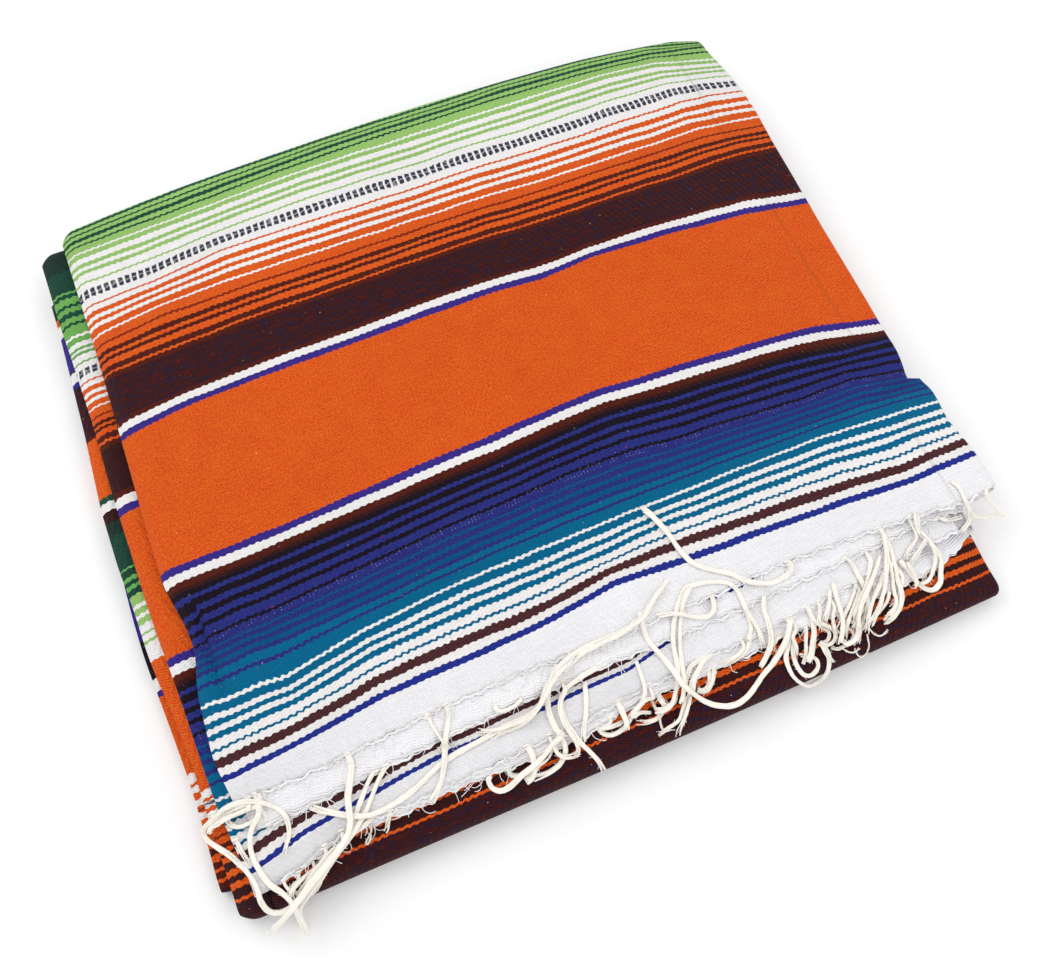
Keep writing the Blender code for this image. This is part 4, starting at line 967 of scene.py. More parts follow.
# hem: rows of a strand's width (mm), 1 where its end is frayed, then its course in pixels of the photograph
STRANDS = {
    "under_second": (
        (2.8, 1, (300, 880), (293, 886), (289, 893), (292, 900)),
        (2.6, 1, (316, 872), (321, 880), (316, 890), (308, 896)),
        (2.4, 1, (284, 884), (290, 891), (297, 893), (301, 898)),
        (3.6, 0, (533, 746), (538, 755), (538, 766), (531, 775), (526, 781)),
        (3.0, 1, (510, 776), (520, 776), (532, 769), (545, 760), (552, 750)),
        (3.4, 0, (600, 732), (609, 735), (620, 731), (628, 723), (634, 712), (642, 703)),
        (2.8, 0, (612, 721), (607, 726), (600, 729), (611, 727), (623, 722)),
        (3.2, 1, (652, 690), (660, 697), (664, 707), (659, 717), (648, 722), (636, 722)),
        (2.8, 0, (661, 702), (668, 706), (675, 702), (676, 693)),
        (1.6, 1, (660, 717), (661, 726), (665, 731), (674, 728)),
        (4.0, 0, (706, 665), (710, 674), (710, 684), (704, 691), (697, 690)),
        (3.2, 1, (692, 665), (694, 677), (692, 688), (688, 699), (685, 711), (683, 722)),
        (2.8, 1, (714, 668), (713, 680), (708, 690), (702, 693)),
        (3.2, 0, (793, 640), (793, 654), (797, 666), (804, 675), (812, 675), (818, 667), (816, 659),
         (807, 656), (799, 655)),
        (3.0, 0, (806, 625), (806, 640), (806, 655), (803, 664)),
        (2.8, 0, (822, 628), (829, 632), (828, 640), (822, 644)),
        (2.8, 1, (785, 625), (780, 632), (774, 640), (772, 650)),
        (2.6, 0, (846, 628), (853, 632), (852, 640), (846, 646)),
        (3.0, 1, (866, 612), (862, 624), (859, 637), (857, 647)),
        (3.0, 1, (830, 590), (829, 603), (826, 615), (822, 626)),
        (2.6, 1, (853, 640), (846, 645), (838, 649), (831, 647)),
    ),
    "second": (
        (3.4, 1, (372, 818), (364, 826), (353, 834), (342, 848), (331, 862), (322, 877), (313, 890),
         (305, 900), (300, 912), (306, 934)),
        (2.8, 1, (327, 854), (318, 866), (306, 876), (298, 884), (292, 893), (294, 905)),
        (3.0, 1, (345, 842), (333, 850), (324, 860), (314, 872), (303, 886), (297, 897)),
        (2.6, 1, (391, 813), (388, 821), (387, 829), (385, 832)),
        (1.4, 0, (372, 829), (370, 835), (366, 842), (366, 845), (370, 840), (371, 833)),
        (4.0, 1, (557, 665), (551, 680), (548, 694), (548, 706), (551, 718), (557, 730), (564, 743),
         (565, 754), (559, 765), (548, 773), (535, 778), (530, 779)),
        (3.6, 1, (585, 682), (586, 698), (586, 713), (584, 728), (582, 745)),
        (4.2, 0, (526, 746), (531, 752), (534, 763), (533, 776), (526, 782)),
        (3.8, 0, (563, 735), (553, 744), (544, 756), (532, 767), (521, 776), (511, 786), (501, 791),
         (492, 788), (488, 780), (491, 776)),
        (3.0, 1, (556, 752), (563, 757), (572, 756), (580, 752)),
        (3.2, 1, (636, 661), (641, 674), (645, 689), (642, 702), (634, 713), (629, 722)),
        (3.8, 0, (618, 702), (622, 711), (626, 722), (627, 730)),
        (2.8, 0, (655, 698), (646, 700), (638, 707), (632, 717), (641, 713), (651, 713)),
        (2.6, 1, (686, 697), (683, 709), (679, 720), (670, 727), (658, 735)),
        (2.6, 1, (691, 696), (688, 708), (684, 720), (679, 731), (678, 737)),
        (3.8, 0, (764, 596), (764, 609), (768, 622), (771, 634), (771, 645), (767, 655), (762, 664),
         (760, 667)),
        (3.2, 1, (751, 630), (749, 643), (744, 653), (736, 660), (727, 664)),
        (2.8, 1, (745, 646), (738, 655), (729, 660), (718, 664)),
        (4.0, 0, (700, 640), (707, 635), (714, 636), (712, 645), (706, 655), (700, 667), (694, 679),
         (691, 690)),
        (3.0, 0, (703, 642), (697, 655), (690, 668), (686, 680), (686, 690)),
        (4.0, 0, (799, 597), (807, 606), (812, 618), (814, 631), (813, 643), (811, 655), (808, 662)),
        (3.4, 0, (788, 620), (790, 632), (788, 645), (786, 657), (789, 669), (796, 680), (807, 686),
         (817, 682), (826, 674), (829, 662), (827, 651), (820, 643)),
        (3.0, 0, (816, 624), (826, 625), (835, 632), (834, 641), (825, 646), (819, 643)),
        (3.0, 1, (822, 646), (826, 654), (831, 660), (832, 663)),
        (2.4, 1, (797, 628), (793, 637), (797, 648), (795, 660)),
        (2.8, 0, (835, 606), (833, 617), (834, 626), (838, 634)),
        (3.4, 0, (843, 622), (851, 621), (858, 628), (856, 638), (848, 644), (842, 640)),
        (1.3, 0, (867, 634), (869, 645), (867, 653), (862, 657), (857, 652), (855, 646)),
        (1.2, 0, (842, 648), (848, 652), (855, 652), (859, 648)),
        (3.0, 1, (877, 588), (872, 599), (864, 609), (857, 618), (851, 630)),
        (3.0, 1, (860, 590), (856, 602), (851, 614), (847, 626), (845, 640)),
        (2.8, 1, (890, 592), (886, 603), (879, 612), (871, 620), (864, 630)),
        (2.6, 1, (856, 584), (853, 596), (848, 608), (843, 618), (838, 630)),
        (1.3, 0, (869, 628), (874, 634), (881, 636), (888, 630)),
        (2.4, 1, (818, 600), (820, 611), (819, 622), (822, 632)),
        (3.2, 1, (903, 575), (901, 587), (898, 598), (890, 607)),
    ),
    "under_top": (
        (3.0, 0, (262, 808), (257, 816), (248, 824), (238, 827), (230, 824), (226, 818)),
        (2.6, 1, (233, 836), (238, 844), (243, 854), (250, 866)),
        (3.4, 1, (375, 769), (368, 783), (362, 797), (357, 811), (352, 826), (343, 842), (332, 857),
         (320, 872), (309, 887), (298, 900), (288, 908)),
        (3.2, 0, (386, 766), (378, 781), (372, 796), (366, 811), (358, 825), (348, 840), (338, 853),
         (328, 868), (318, 882), (309, 893), (303, 903)),
        (3.8, 1, (668, 580), (658, 592), (650, 606), (643, 617), (626, 629), (604, 639), (584, 648),
         (571, 656), (561, 665), (553, 678), (546, 690), (541, 703), (532, 713), (519, 720), (504, 727),
         (490, 735), (474, 744), (459, 752), (445, 761), (434, 770), (419, 785), (402, 799), (387, 808),
         (370, 815), (354, 816), (334, 813), (320, 810), (310, 807)),
        (2.6, 0, (456, 729), (449, 734), (444, 742), (440, 752)),
        (3.6, 1, (604, 664), (590, 671), (577, 680), (566, 689), (561, 700), (563, 714), (570, 728),
         (580, 742), (591, 753), (599, 762), (604, 771)),
        (3.0, 1, (566, 690), (560, 704), (563, 720), (571, 734), (579, 748), (575, 758)),
        (3.6, 0, (748, 640), (751, 628), (748, 614), (742, 600), (736, 589), (727, 583), (712, 582),
         (697, 584), (686, 589), (679, 602), (675, 617), (673, 632), (674, 647), (677, 662), (678, 678),
         (676, 692), (672, 704), (664, 710), (655, 711)),
        (3.0, 0, (690, 588), (684, 600), (681, 614), (680, 630), (680, 646), (682, 662), (684, 678),
         (684, 692), (681, 704)),
        (4.0, 0, (640, 612), (643, 625), (647, 638), (656, 650), (666, 661), (675, 673), (683, 685),
         (694, 694), (706, 702), (720, 706), (734, 705), (746, 698), (755, 687), (763, 675), (773, 663),
         (781, 650), (787, 637), (790, 624), (791, 618)),
        (2.8, 1, (752, 619), (758, 629), (762, 641), (763, 650)),
        (3.4, 1, (844, 557), (851, 562), (857, 573), (863, 584), (867, 595), (868, 607), (866, 620)),
        (3.6, 1, (886, 537), (891, 551), (895, 566), (898, 581), (902, 595), (900, 607), (893, 617),
         (884, 624)),
        (3.2, 1, (884, 540), (889, 557), (893, 573), (896, 590), (897, 603), (892, 612), (884, 620)),
        (3.2, 1, (871, 559), (869, 573), (866, 586), (861, 598), (857, 610), (853, 622)),
        (3.0, 1, (884, 572), (880, 584), (875, 595), (871, 607), (868, 620), (866, 634)),
        (3.8, 0, (900, 560), (908, 570), (916, 581), (924, 588), (933, 590), (940, 583), (941, 571),
         (941, 559), (936, 549), (928, 541), (920, 533), (917, 523), (916, 513)),
        (3.0, 0, (923, 534), (931, 543), (936, 555), (934, 568), (929, 580), (921, 584)),
        (2.8, 0, (938, 517), (945, 520), (954, 519), (962, 517)),
    ),
    "top": (
        (3.6, 0, (262, 806), (250, 804), (238, 807), (224, 814), (212, 821), (204, 829), (206, 838),
         (217, 847), (232, 857), (246, 871), (256, 886), (261, 902), (270, 912), (284, 912), (296, 903)),
        (3.4, 0, (262, 806), (249, 809), (236, 814), (222, 820), (211, 828), (209, 834)),
        (3.2, 1, (213, 818), (226, 808), (242, 802), (258, 802), (272, 806), (283, 813), (288, 823),
         (289, 835), (286, 845), (284, 856)),
        (3.2, 0, (250, 808), (238, 813), (226, 819), (214, 826)),
        (3.6, 1, (259, 808), (258, 816), (252, 828), (250, 841), (252, 855), (258, 868), (268, 883),
         (282, 893), (292, 903), (299, 918), (304, 928), (307, 938)),
        (4.2, 1, (347, 754), (351, 764), (350, 780), (348, 796), (349, 810), (350, 824), (346, 838),
         (336, 853), (324, 868), (312, 882), (302, 896), (290, 912), (278, 925), (268, 934)),
        (3.4, 0, (664, 585), (655, 597), (648, 610), (641, 620), (622, 633), (602, 643), (585, 652),
         (574, 660), (564, 670)),
        (3.0, 1, (572, 660), (560, 672), (551, 685), (545, 697), (537, 709), (527, 718), (514, 724),
         (500, 729), (486, 731), (476, 730)),
        (2.4, 1, (545, 697), (538, 710), (528, 720), (515, 728), (502, 733), (490, 738)),
        (3.6, 1, (444, 702), (448, 710), (448, 722), (446, 736), (445, 750), (444, 764), (442, 778),
         (437, 791), (430, 803)),
        (2.6, 1, (430, 722), (437, 733), (443, 742), (448, 750)),
        (3.0, 0, (522, 699), (513, 707), (503, 711), (497, 710), (494, 704)),
        (4.0, 1, (784, 557), (790, 562), (791, 571), (784, 577), (772, 583), (757, 583), (744, 580),
         (731, 574), (712, 570), (696, 565), (684, 555), (676, 545), (668, 533), (658, 522), (649, 513),
         (638, 506)),
        (3.4, 0, (705, 588), (711, 595), (714, 604), (713, 612), (706, 617), (694, 617), (681, 614),
         (668, 614), (656, 616)),
        (3.4, 0, (833, 583), (836, 595), (840, 608), (843, 621), (842, 634), (841, 644)),
        (3.6, 1, (874, 523), (882, 531), (886, 544), (887, 560), (886, 575), (884, 590), (880, 604),
         (875, 616), (869, 627)),
        (3.2, 1, (880, 556), (876, 569), (871, 582), (866, 594), (861, 607), (859, 619), (858, 634)),
        (3.2, 0, (951, 481), (959, 488), (965, 500), (970, 512), (968, 523), (962, 531)),
        (2.8, 0, (984, 484), (987, 495), (994, 503), (1001, 511), (1003, 518), (1000, 517), (992, 516),
         (981, 517), (971, 514)),
        (2.4, 0, (919, 535), (914, 543), (908, 551), (905, 559)),
        (3.0, 1, (927, 538), (921, 548), (914, 558), (908, 567)),
        (2.4, 0, (907, 562), (913, 573), (917, 583), (914, 588)),
    ),
}


def land():
    """Heights of everything the strands lie on, over the grid of MAP_X and MAP_Y."""
    x, y = np.meshgrid(MAP_X, MAP_Y, indexing="ij")
    heights = np.zeros_like(x)
    radius = 0.5 * fold_top(x)
    depth = np.clip((front_centre(x) - y) / radius, 0.0, 1.0)
    rounded = radius + radius * np.sqrt(1.0 - depth * depth)
    inside = (x > left_edge(y, "third")) & (x < right_edge(y, "second")) & (y > front_centre(x) - radius)
    heights = np.where(inside, rounded, heights)
    for name in ("under_second", "second", "under_top", "top"):
        layer = "top" if name in ("top", "under_top") else "second"
        inside = (x > left_edge(y, layer)) & (x < right_edge(y, layer)) & (y > hem(x, name) - BAR - SEAM)
        heights = np.where(inside, np.maximum(heights, level(x, y, name)), heights)
    return heights


def over(heights, points, reach):
    """Highest land within reach of each point."""
    i = np.rint((points[:, 0] - MAP_X[0]) / MAP_STEP).astype(int)
    j = np.rint((points[:, 1] - MAP_Y[0]) / MAP_STEP).astype(int)
    span = range(-int(reach / MAP_STEP + 0.5), int(reach / MAP_STEP + 0.5) + 1)
    near = [(di, dj) for di in span for dj in span if math.hypot(di, dj) * MAP_STEP <= reach]
    return np.max([heights[i + di, j + dj] for di, dj in near], 0)


def in_plan(course, z):
    """Points at the heights z that show at the given pixels of the photograph."""
    aside = np.outer(course[:, 0] - PICTURE[0] / 2, RIGHT)
    down = np.outer(course[:, 1] - PICTURE[1] / 2, UP)
    sight = (aside - down) / FOCAL - BACK
    return EYE + sight * ((z - EYE[2]) / sight[:, 2])[:, None]


def run_of(line):
    """Running length at each point of a line."""
    return np.concatenate(([0.0], np.cumsum(np.linalg.norm(np.diff(line, axis=0), axis=1))))


def smooth_course(points):
    """A smooth line through the points, at even steps."""
    points = np.array(points, float)
    ends = np.concatenate((2 * points[:1] - points[1:2], points, 2 * points[-1:] - points[-2:-1]))
    line = []
    for a, b, c, d in zip(ends, ends[1:], ends[2:], ends[3:]):
        for t in np.arange(0.0, 1.0, 0.1):
            line.append(0.5 * (2 * b + (c - a) * t + (2 * a - 5 * b + 4 * c - d) * t ** 2
                               + (3 * b - a - 3 * c + d) * t ** 3))
    line = np.array(line + [points[-1]])
    run = run_of(line)
    even = np.linspace(0.0, run[-1], max(4, int(run[-1] / COURSE_STEP)))
    return np.stack([np.interp(even, run, line[:, k]) for k in (0, 1)], -1)


def bar_back(x, name):
    """y of the hem's edge, where its strands leave the cloth."""
    return float(hem(x, name)) - SEAM


def hem_height(x, name):
    return float(level(x, SECTION_FRONT_Y, name)) - BELOW_FACE


def gentle(z, run, fall, climb, first):
    """Raise heights until the strand neither falls nor climbs too steeply."""
    z = z.copy()
    for k in range(1, len(z)):
        z[k] = max(z[k], z[k - 1] - fall * (run[k] - run[k - 1]))
    for k in range(len(z) - 2, first - 1, -1):
        z[k] = max(z[k], z[k + 1] - climb * (run[k + 1] - run[k]))
    return z


def eased(z, need, first, window=4):
    """Round a strand's rises and falls, without sinking into what it lies on."""
    padded = np.pad(z, window, mode="edge")
    mean = np.mean([padded[k:k + len(z)] for k in range(2 * window + 1)], axis=0)
    mean[:first] = z[:first]
    return np.maximum(mean, need)


def lay_strand(points, width, name, bare, heights):
    """The middle of a strand in space: on what lies under its course in the photograph."""
    course = smooth_course(points)
    z = np.full(len(course), TALLEST)
    for height in np.arange(TALLEST, 0.001, -DOWN_STEP):
        here = in_plan(course, np.full(len(course), height))
        lower = (z > height) & (over(bare, here, 0.0009) + 0.0012 < height)
        z = np.where(lower, height, z)
    root = in_plan(course[:1], np.array([hem_height(0.5 * WIDTH, name)]))[0]
    root_z = hem_height(root[0], name) - 0.5 * THICK
    rooted = abs(root[1] - bar_back(root[0], name)) < ROOT_REACH
    start = np.array((root[0], bar_back(root[0], name) + ROOT_TUCK, root_z))
    # its place in plan and its height depend on each other, so both are worked out a few times over
    for _ in range(4):
        line = in_plan(course, z)
        if rooted:
            line = line[np.argmax(line[:, 1] < start[1] - 0.0015):]
            line = np.concatenate((start[None], line))
        run = run_of(line[:, :2])
        need = over(heights, line, 0.35 * width) + 0.5 * THICK + 0.0003
        first = int(np.argmax(run > STIFF)) if rooted else 0
        need[:first] = root_z
        rest = gentle(need, run, FALL, CLIMB, first)
        close = np.linalg.norm(line[:, None, :2] - line[None, :, :2], axis=2) < 0.9 * width
        behind = run[:, None] - run[None, :] > LOOP
        own = np.where(close & behind, rest[None, :] + THICK + 0.0002, 0.0).max(1)
        rest = gentle(np.maximum(need, own), run, FALL, CLIMB, first)
        rest = eased(rest, np.maximum(need, own), first)
        missing = len(course) - len(rest)
        z = rest[-len(course):] if missing <= 0 else np.concatenate((np.full(missing, rest[0]), rest))
    line[:, 2] = rest
    soft = line.copy()
    soft[1:-1] = (line[:-2] + 2.0 * line[1:-1] + line[2:]) / 4.0
    return soft, rooted


def stamp(line, width, heights):
    """Add a finished strand to the map of heights."""
    reach = int(0.5 * width / MAP_STEP + 0.5)
    for x, y, z in line:
        i, j = int(round((x - MAP_X[0]) / MAP_STEP)), int(round((y - MAP_Y[0]) / MAP_STEP))
        near = heights[i - reach:i + reach + 1, j - reach:j + reach + 1]
        np.maximum(near, z + 0.5 * THICK, out=near)


def tube(points, radii, sides, vertices, faces, flat=1.0):
    """Add a tube round a line of points to the vertices and faces; flat is its height over its width."""
    ahead = np.gradient(points, axis=0)
    ahead /= np.linalg.norm(ahead, axis=1)[:, None] + 1e-12
    side = np.cross(ahead, (0.0, 0.0, 1.0))
    side /= np.linalg.norm(side, axis=1)[:, None] + 1e-9
    lift = flat * np.cross(side, ahead)
    turned = 2.0 * math.pi * np.arange(sides) / sides
    ring = np.cos(turned)[None, :, None] * side[:, None] + np.sin(turned)[None, :, None] * lift[:, None]
    start = len(vertices)
    vertices.extend(map(tuple, (points[:, None] + radii[:, None, None] * ring + FRAME).reshape(-1, 3)))
    for k in range(len(points) - 1):
        for n in range(sides):
            a, b = start + k * sides + n, start + k * sides + (n + 1) % sides
            faces.append((a, b, b + sides, a + sides))
    faces.append(tuple(start + n for n in reversed(range(sides))))
    faces.append(tuple(start + (len(points) - 1) * sides + n for n in range(sides)))


def spin_strand(line, width, frayed, vertices, faces):
    """Wind one strand from its filaments, with a few stray hairs."""
    run = run_of(line)
    ahead = np.gradient(line, axis=0)
    side = np.cross(ahead, (0.0, 0.0, 1.0))
    side /= np.linalg.norm(side, axis=1)[:, None] + 1e-9
    count = max(3, int(round(width / FILAMENT)))
    twist = RNG.uniform(18.0, 45.0) * RNG.choice((-1.0, 1.0))
    lumps = 0.85 + 0.15 * np.sin(run * RNG.uniform(90, 150) + RNG.uniform(0, 6))
    body = lumps * (0.75 + 0.25 * smooth(0, 0.006, run))
    tail = smooth(run[-1] - FRAY, run[-1], run) * (1.0 if frayed else 0.35)
    for f in range(count):
        turned = 2.0 * math.pi * f / count + RNG.normal(0.0, 0.25) + twist * run
        turned = turned + 0.5 * np.sin(run * RNG.uniform(70, 160) + RNG.uniform(0, 6))
        spread = body * (1.0 + tail * RNG.uniform(0.2, 1.5))
        path = line + side * (0.30 * width * np.cos(turned) * spread)[:, None]
        path[:, 2] += 0.22 * THICK * np.sin(turned)
        stop = len(path) - int(RNG.integers(0, 5 if frayed else 2)) if len(path) > 14 else len(path)
        radii = 0.205 * width * (1.0 - 0.55 * tail[:stop])
        radii *= 1.0 + 0.08 * np.sin(run[:stop] * 700.0 + 2.0 * f)
        tube(path[:stop], radii, 6, vertices, faces, 0.72)
    for _ in range(3):
        first = int(RNG.integers(0, max(1, len(line) - 8)))
        last = min(len(line), first + int(RNG.integers(6, 16)))
        arch = np.linspace(-1.0, 1.0, last - first) ** 2
        away = arch * RNG.uniform(0.45, 0.9) * width * RNG.choice((-1.0, 1.0))
        path = line[first:last] + side[first:last] * away[:, None]
        path[:, 2] += 0.35 * THICK
        tube(path, np.full(last - first, HAIR), 4, vertices, faces)


def tie_knot(root, vertices, faces):
    """A loop and a half of thread round a strand's root."""
    turns = np.linspace(0.0, 2.0 * math.pi * 1.6, KNOT_POINTS)
    knot = np.stack((root[0] + KNOT * np.cos(turns), root[1] - 0.001 + 0.0006 * turns / turns[-1],
                     root[2] + 0.0002 + 0.0014 * np.sin(turns)), -1)
    tube(knot, np.full(KNOT_POINTS, 0.0006), 5, vertices, faces)


def wavy(start, end, step, size):
    """An uneven wave along a hem, for its binding thread."""
    x = np.arange(start, end, step)
    knots = np.arange(start - 0.01, end + 0.02, 0.0042)
    return x, size * (np.interp(x, knots, RNG.normal(0.0, 0.5, len(knots))) + 0.5 * np.sin(x * 97.0))


def build_fringe(name, bare, heights, *materials):
    """All the strands of one hem; its binding threads and short loose ends have the second material."""
    vertices, faces = [], []
    for width, frayed, *points in STRANDS[name]:
        width = STRAND_WIDTH * width
        line, rooted = lay_strand(points, width, name, bare, heights)
        stamp(line, width, heights)
        spin_strand(line, width, frayed, vertices, faces)
        if rooted and width > KNOTTED:
            tie_knot(line[0], vertices, faces)
    strand_faces = len(faces)
    for depth, radius in ((0.0, 0.0008), (0.0009, 0.00035)):
        x, wave = wavy(*BAR_ENDS[name], 0.0016, 0.0008)
        y = np.array([bar_back(at, name) for at in x]) - depth + wave
        z = np.array([hem_height(at, name) for at in x]) - 0.0011 + 0.3 * wave
        tube(np.stack((x, y, z), -1), np.full(len(x), radius), 6, vertices, faces)
    for _ in range(WISPS):
        at, heading = RNG.uniform(*BAR_ENDS[name]), RNG.uniform(-150.0, -30.0)
        bend, steps = RNG.normal(0.0, 9.0), int(RNG.integers(5, 14))
        turned = np.radians(heading + bend * np.arange(steps))
        x = at + WISP_STEP * np.cumsum(np.cos(turned))
        y = bar_back(at, name) + 0.0005 + WISP_STEP * np.cumsum(np.sin(turned))
        path = np.stack((x, y, np.zeros(steps)), -1)
        path[:, 2] = gentle(over(heights, path, 0.0009) + 0.0004, WISP_STEP * np.arange(steps), 1.3, 1.3, 0)
        tube(path, np.full(steps, RNG.uniform(0.00018, 0.00032)), 4, vertices, faces)
    piece = make_piece("yarn_" + name, vertices, faces, *materials)
    for polygon in piece.data.polygons[strand_faces:]:
        polygon.material_index = 1
    piece.data.shade_smooth()
    return piece


# ---- where the woven pattern lies on each stretch ------------------------------------------------
# lines of the top layer, read off ruled strips of the photograph to half a millimetre, some of them then
# shifted as a whole to agree with it: distance from the hem, then how far the line lies forward of the
# stack's back at each x of DRIFT_X, all in millimetres
DRIFT_X = (6, 60, 120, 200, 250, 300, 350, 400, 500, 545, 590)
DRIFT = (
    (35.4, 468.5, 464, 456.5, 455.5, 452.5, 445.5, 449, 451, 455, 460, 458.5),
    (45.5, 457, 454.5, 445.5, 443.5, 442, 436, 436.5, 438.5, 443, 448.5, 447.5),
    (59.3, 438.5, 436.5, 427, 423.5, 423, 421.5, 418.5, 419.5, 421.5, 427.5, 428.5),
    (78.8, 417, 419, 409, 403.5, 402.5, 402, 401.5, 401.5, 401, 404.5, 407.5),
    (96.4, 395, 394, 392.5, 388.5, 386, 385, 385.5, 386.5, 388, 389, 394),
    (121.8, 373.5, 372, 368.5, 363.5, 362, 359, 359, 363.5, 368, 366, 374),
    (149.3, 341.5, 341, 339.5, 337, 335, 332.5, 329.5, 334.5, 337.5, 343.5, 345.5),
    (162.3, 328, 328.5, 326.5, 323.5, 322, 319.5, 316, 320.5, 323, 326.5, 335),
    (175.0, 315, 316.5, 315, 311, 309.5, 307, 304, 307.5, 311, 313, 322.5),
    (289.0, 200, 195, 194, 193.5, 192.5, 192.5, 195, 189.5, 193, 193.5, 197),
    (301.0, 189, 185, 183, 183, 181, 181.5, 184.5, 180, 182, 180.5, 185.5),
    (342.5, 141.5, 141.5, 138.5, 140, 139, 139.5, 141.5, 140, 137, 131, 129.5),
    (369.9, 114.5, 110, 109, 111, 111.5, 111.5, 113, 111.5, 108, 103, 104.5),
    (379.9, 105.5, 100.5, 98.5, 101, 101.5, 102, 103, 102.5, 99, 93.5, 95),
    (411.0, 76.5, 76, 68, 69.5, 70.5, 71, 71.5, 70, 66.5, 61.5, 61.5),
    (424.2, 64.5, 64.5, 57.5, 56.5, 56.5, 57.5, 57.5, 56, 52.5, 47.5, 51),
    (435.6, 53, 54, 48.5, 45.5, 45.5, 46.5, 46, 44.5, 39.5, 35.5, 41),
    (466.2, 24.5, 23, 21, 17, 16.5, 16.5, 15, 14, 9.5, 9, 19),
    (474.6, 17.5, 15.5, 13, 8.5, 7, 6, 5, 3.5, 2.5, 1.5, 9),
    (481.4, 12, 8.5, 6, 2, 0, -0.5, -1, -3.5, -3, -3.5, 1),
    (494.3, 1.5, -2.5, -6.5, -8, -9.5, -10, -10.5, -13, -13, -13.5, -4),
)
# the second layer, millimetres: x and y along its royal blue line, then lines of its left strip, each as
# its y and its distance from the hem
SECOND_BLUE = (
    (-20, -533), (-2, -531), (38, -521), (73, -517), (133, -510), (173, -510), (231, -507), (285, -506),
    (350, -492), (590, -478),
)
SECOND_STRIP = (
    (-478, 78.7), (-386, 162.3), (-373, 175), (-254, 289), (-241, 301), (-191, 342.4), (-187, 345.7),
    (-179, 354), (-173.5, 361), (-167.3, 369.8), (-159, 379.8), (-156, 384.4), (-148.5, 394), (-142, 402),
    (-134, 411), (-124.8, 424.2), (-116, 435.5), (-107.7, 445.5), (-103.5, 453.5), (-95.5, 463),
    (-91.6, 466.2), (-80.2, 474.6), (-70.8, 481.4), (-62.3, 488), (-51.7, 494), (-47.8, 497), (0, 549),
)


BLUE_MARK = 35.3          # its distance from the hem
VIEW_SLOPE = 0.891        # run of the line of sight over its fall, at the back edge
# between these x the pattern of the top cloth's lower half lies further on, as at a small ruck
RUCK_START, RUCK_END = (0.352, 0.362), (0.408, 0.396)     # metres
RUCK = 19.5               # millimetres
KINK = 3.5                # the pattern's small step at the left edge, millimetres
FLAT_END = 0.57           # x up to which the layers are flat


def read_on(y, ys, marks):
    """The mark at y, from the marks at ys; it runs on evenly past both ends."""
    return np.interp(y, ys, marks) + max(0.0, y - ys[-1]) + min(0.0, y - ys[0])


def top_pattern(grid):
    """Distance along the pattern at each point of the top cloth."""
    outer = grid[0]
    flat_rows = len(SHARES)
    x = outer[..., 0]
    drop = outer[:, flat_rows - 1:flat_rows, 2] - outer[..., 2]
    # round the back the stripes keep the spacing that they show from the front, as far as the skyline
    y = outer[..., 1] * 1000.0
    y[:, flat_rows:] -= drop[:, flat_rows:] * 1000.0 * VIEW_SLOPE
    tops, unders = hem(x, "top") * 1000.0, hem(x, "under_top") * 1000.0
    marks = np.array([0.0] + [row[0] for row in DRIFT])
    places = -np.array([np.interp(x * 1000.0, DRIFT_X, row[1:]) for row in DRIFT])
    along = np.empty_like(x)
    run = lengths(outer, 1) * 1000.0
    for i in range(x.shape[0]):
        for j in range(x.shape[1]):
            along[i, j] = read_on(y[i, j], np.concatenate((tops[i, j:j + 1], places[:, i, j])), marks)
        skyline = flat_rows + int(np.argmax(y[i, flat_rows:]))
        along[i, skyline:] = along[i, skyline] + run[i, skyline:] - run[i, skyline]
        if i > TOP_UPPER + len(FOLD_ANGLES) // 2:
            flat_x = x[i, :flat_rows]
            pushed = RUCK * smooth(*RUCK_START, flat_x) * smooth(*RUCK_END, flat_x)
            along[i, :flat_rows] = y[i, :flat_rows] - unders[i, :flat_rows] + pushed
        else:
            beside = smooth(0.0185, 0.0150, x[i])
            beside = beside * smooth(-340.0, -350.0, y[i]) * smooth(-392.0, -366.0, y[i])
            along[i] += KINK * beside
    return along / 1000.0


def across_of(grid):
    """Running distance across the cloth; on the flat it is x itself."""
    outer = grid[0]
    run = lengths(outer, 0).mean(1)
    across = np.repeat((run + outer[0, :, 0].mean())[:, None], outer.shape[1], 1)
    flat = outer[..., 0] < FLAT_END
    turned = np.maximum.accumulate(~flat, axis=0)
    return np.where(turned, across, outer[..., 0])


def join_uv(across, along):
    return [[(float(a), float(b)) for a, b in zip(row_a, row_b)] for row_a, row_b in zip(across, along)]


def build_top():
    grid = top_grid()
    _, columns, rows, _ = grid.shape
    end = RETURN_END - 1
    blocks = ((0, end, 0, rows - 1, 0.02, 0.07, 0.98, 0.98),
              (end, columns - 1, 0, UNDER_ROWS, 0.02, 0.01, 0.98, 0.05))
    uv = join_uv(across_of(grid), top_pattern(grid))
    return shell("top_cloth", grid, lambda i, j: i < end or j < UNDER_ROWS, uv, blocks,
                 woven("top weave", MAIN, CHECKS, DOTS, STREAKED))


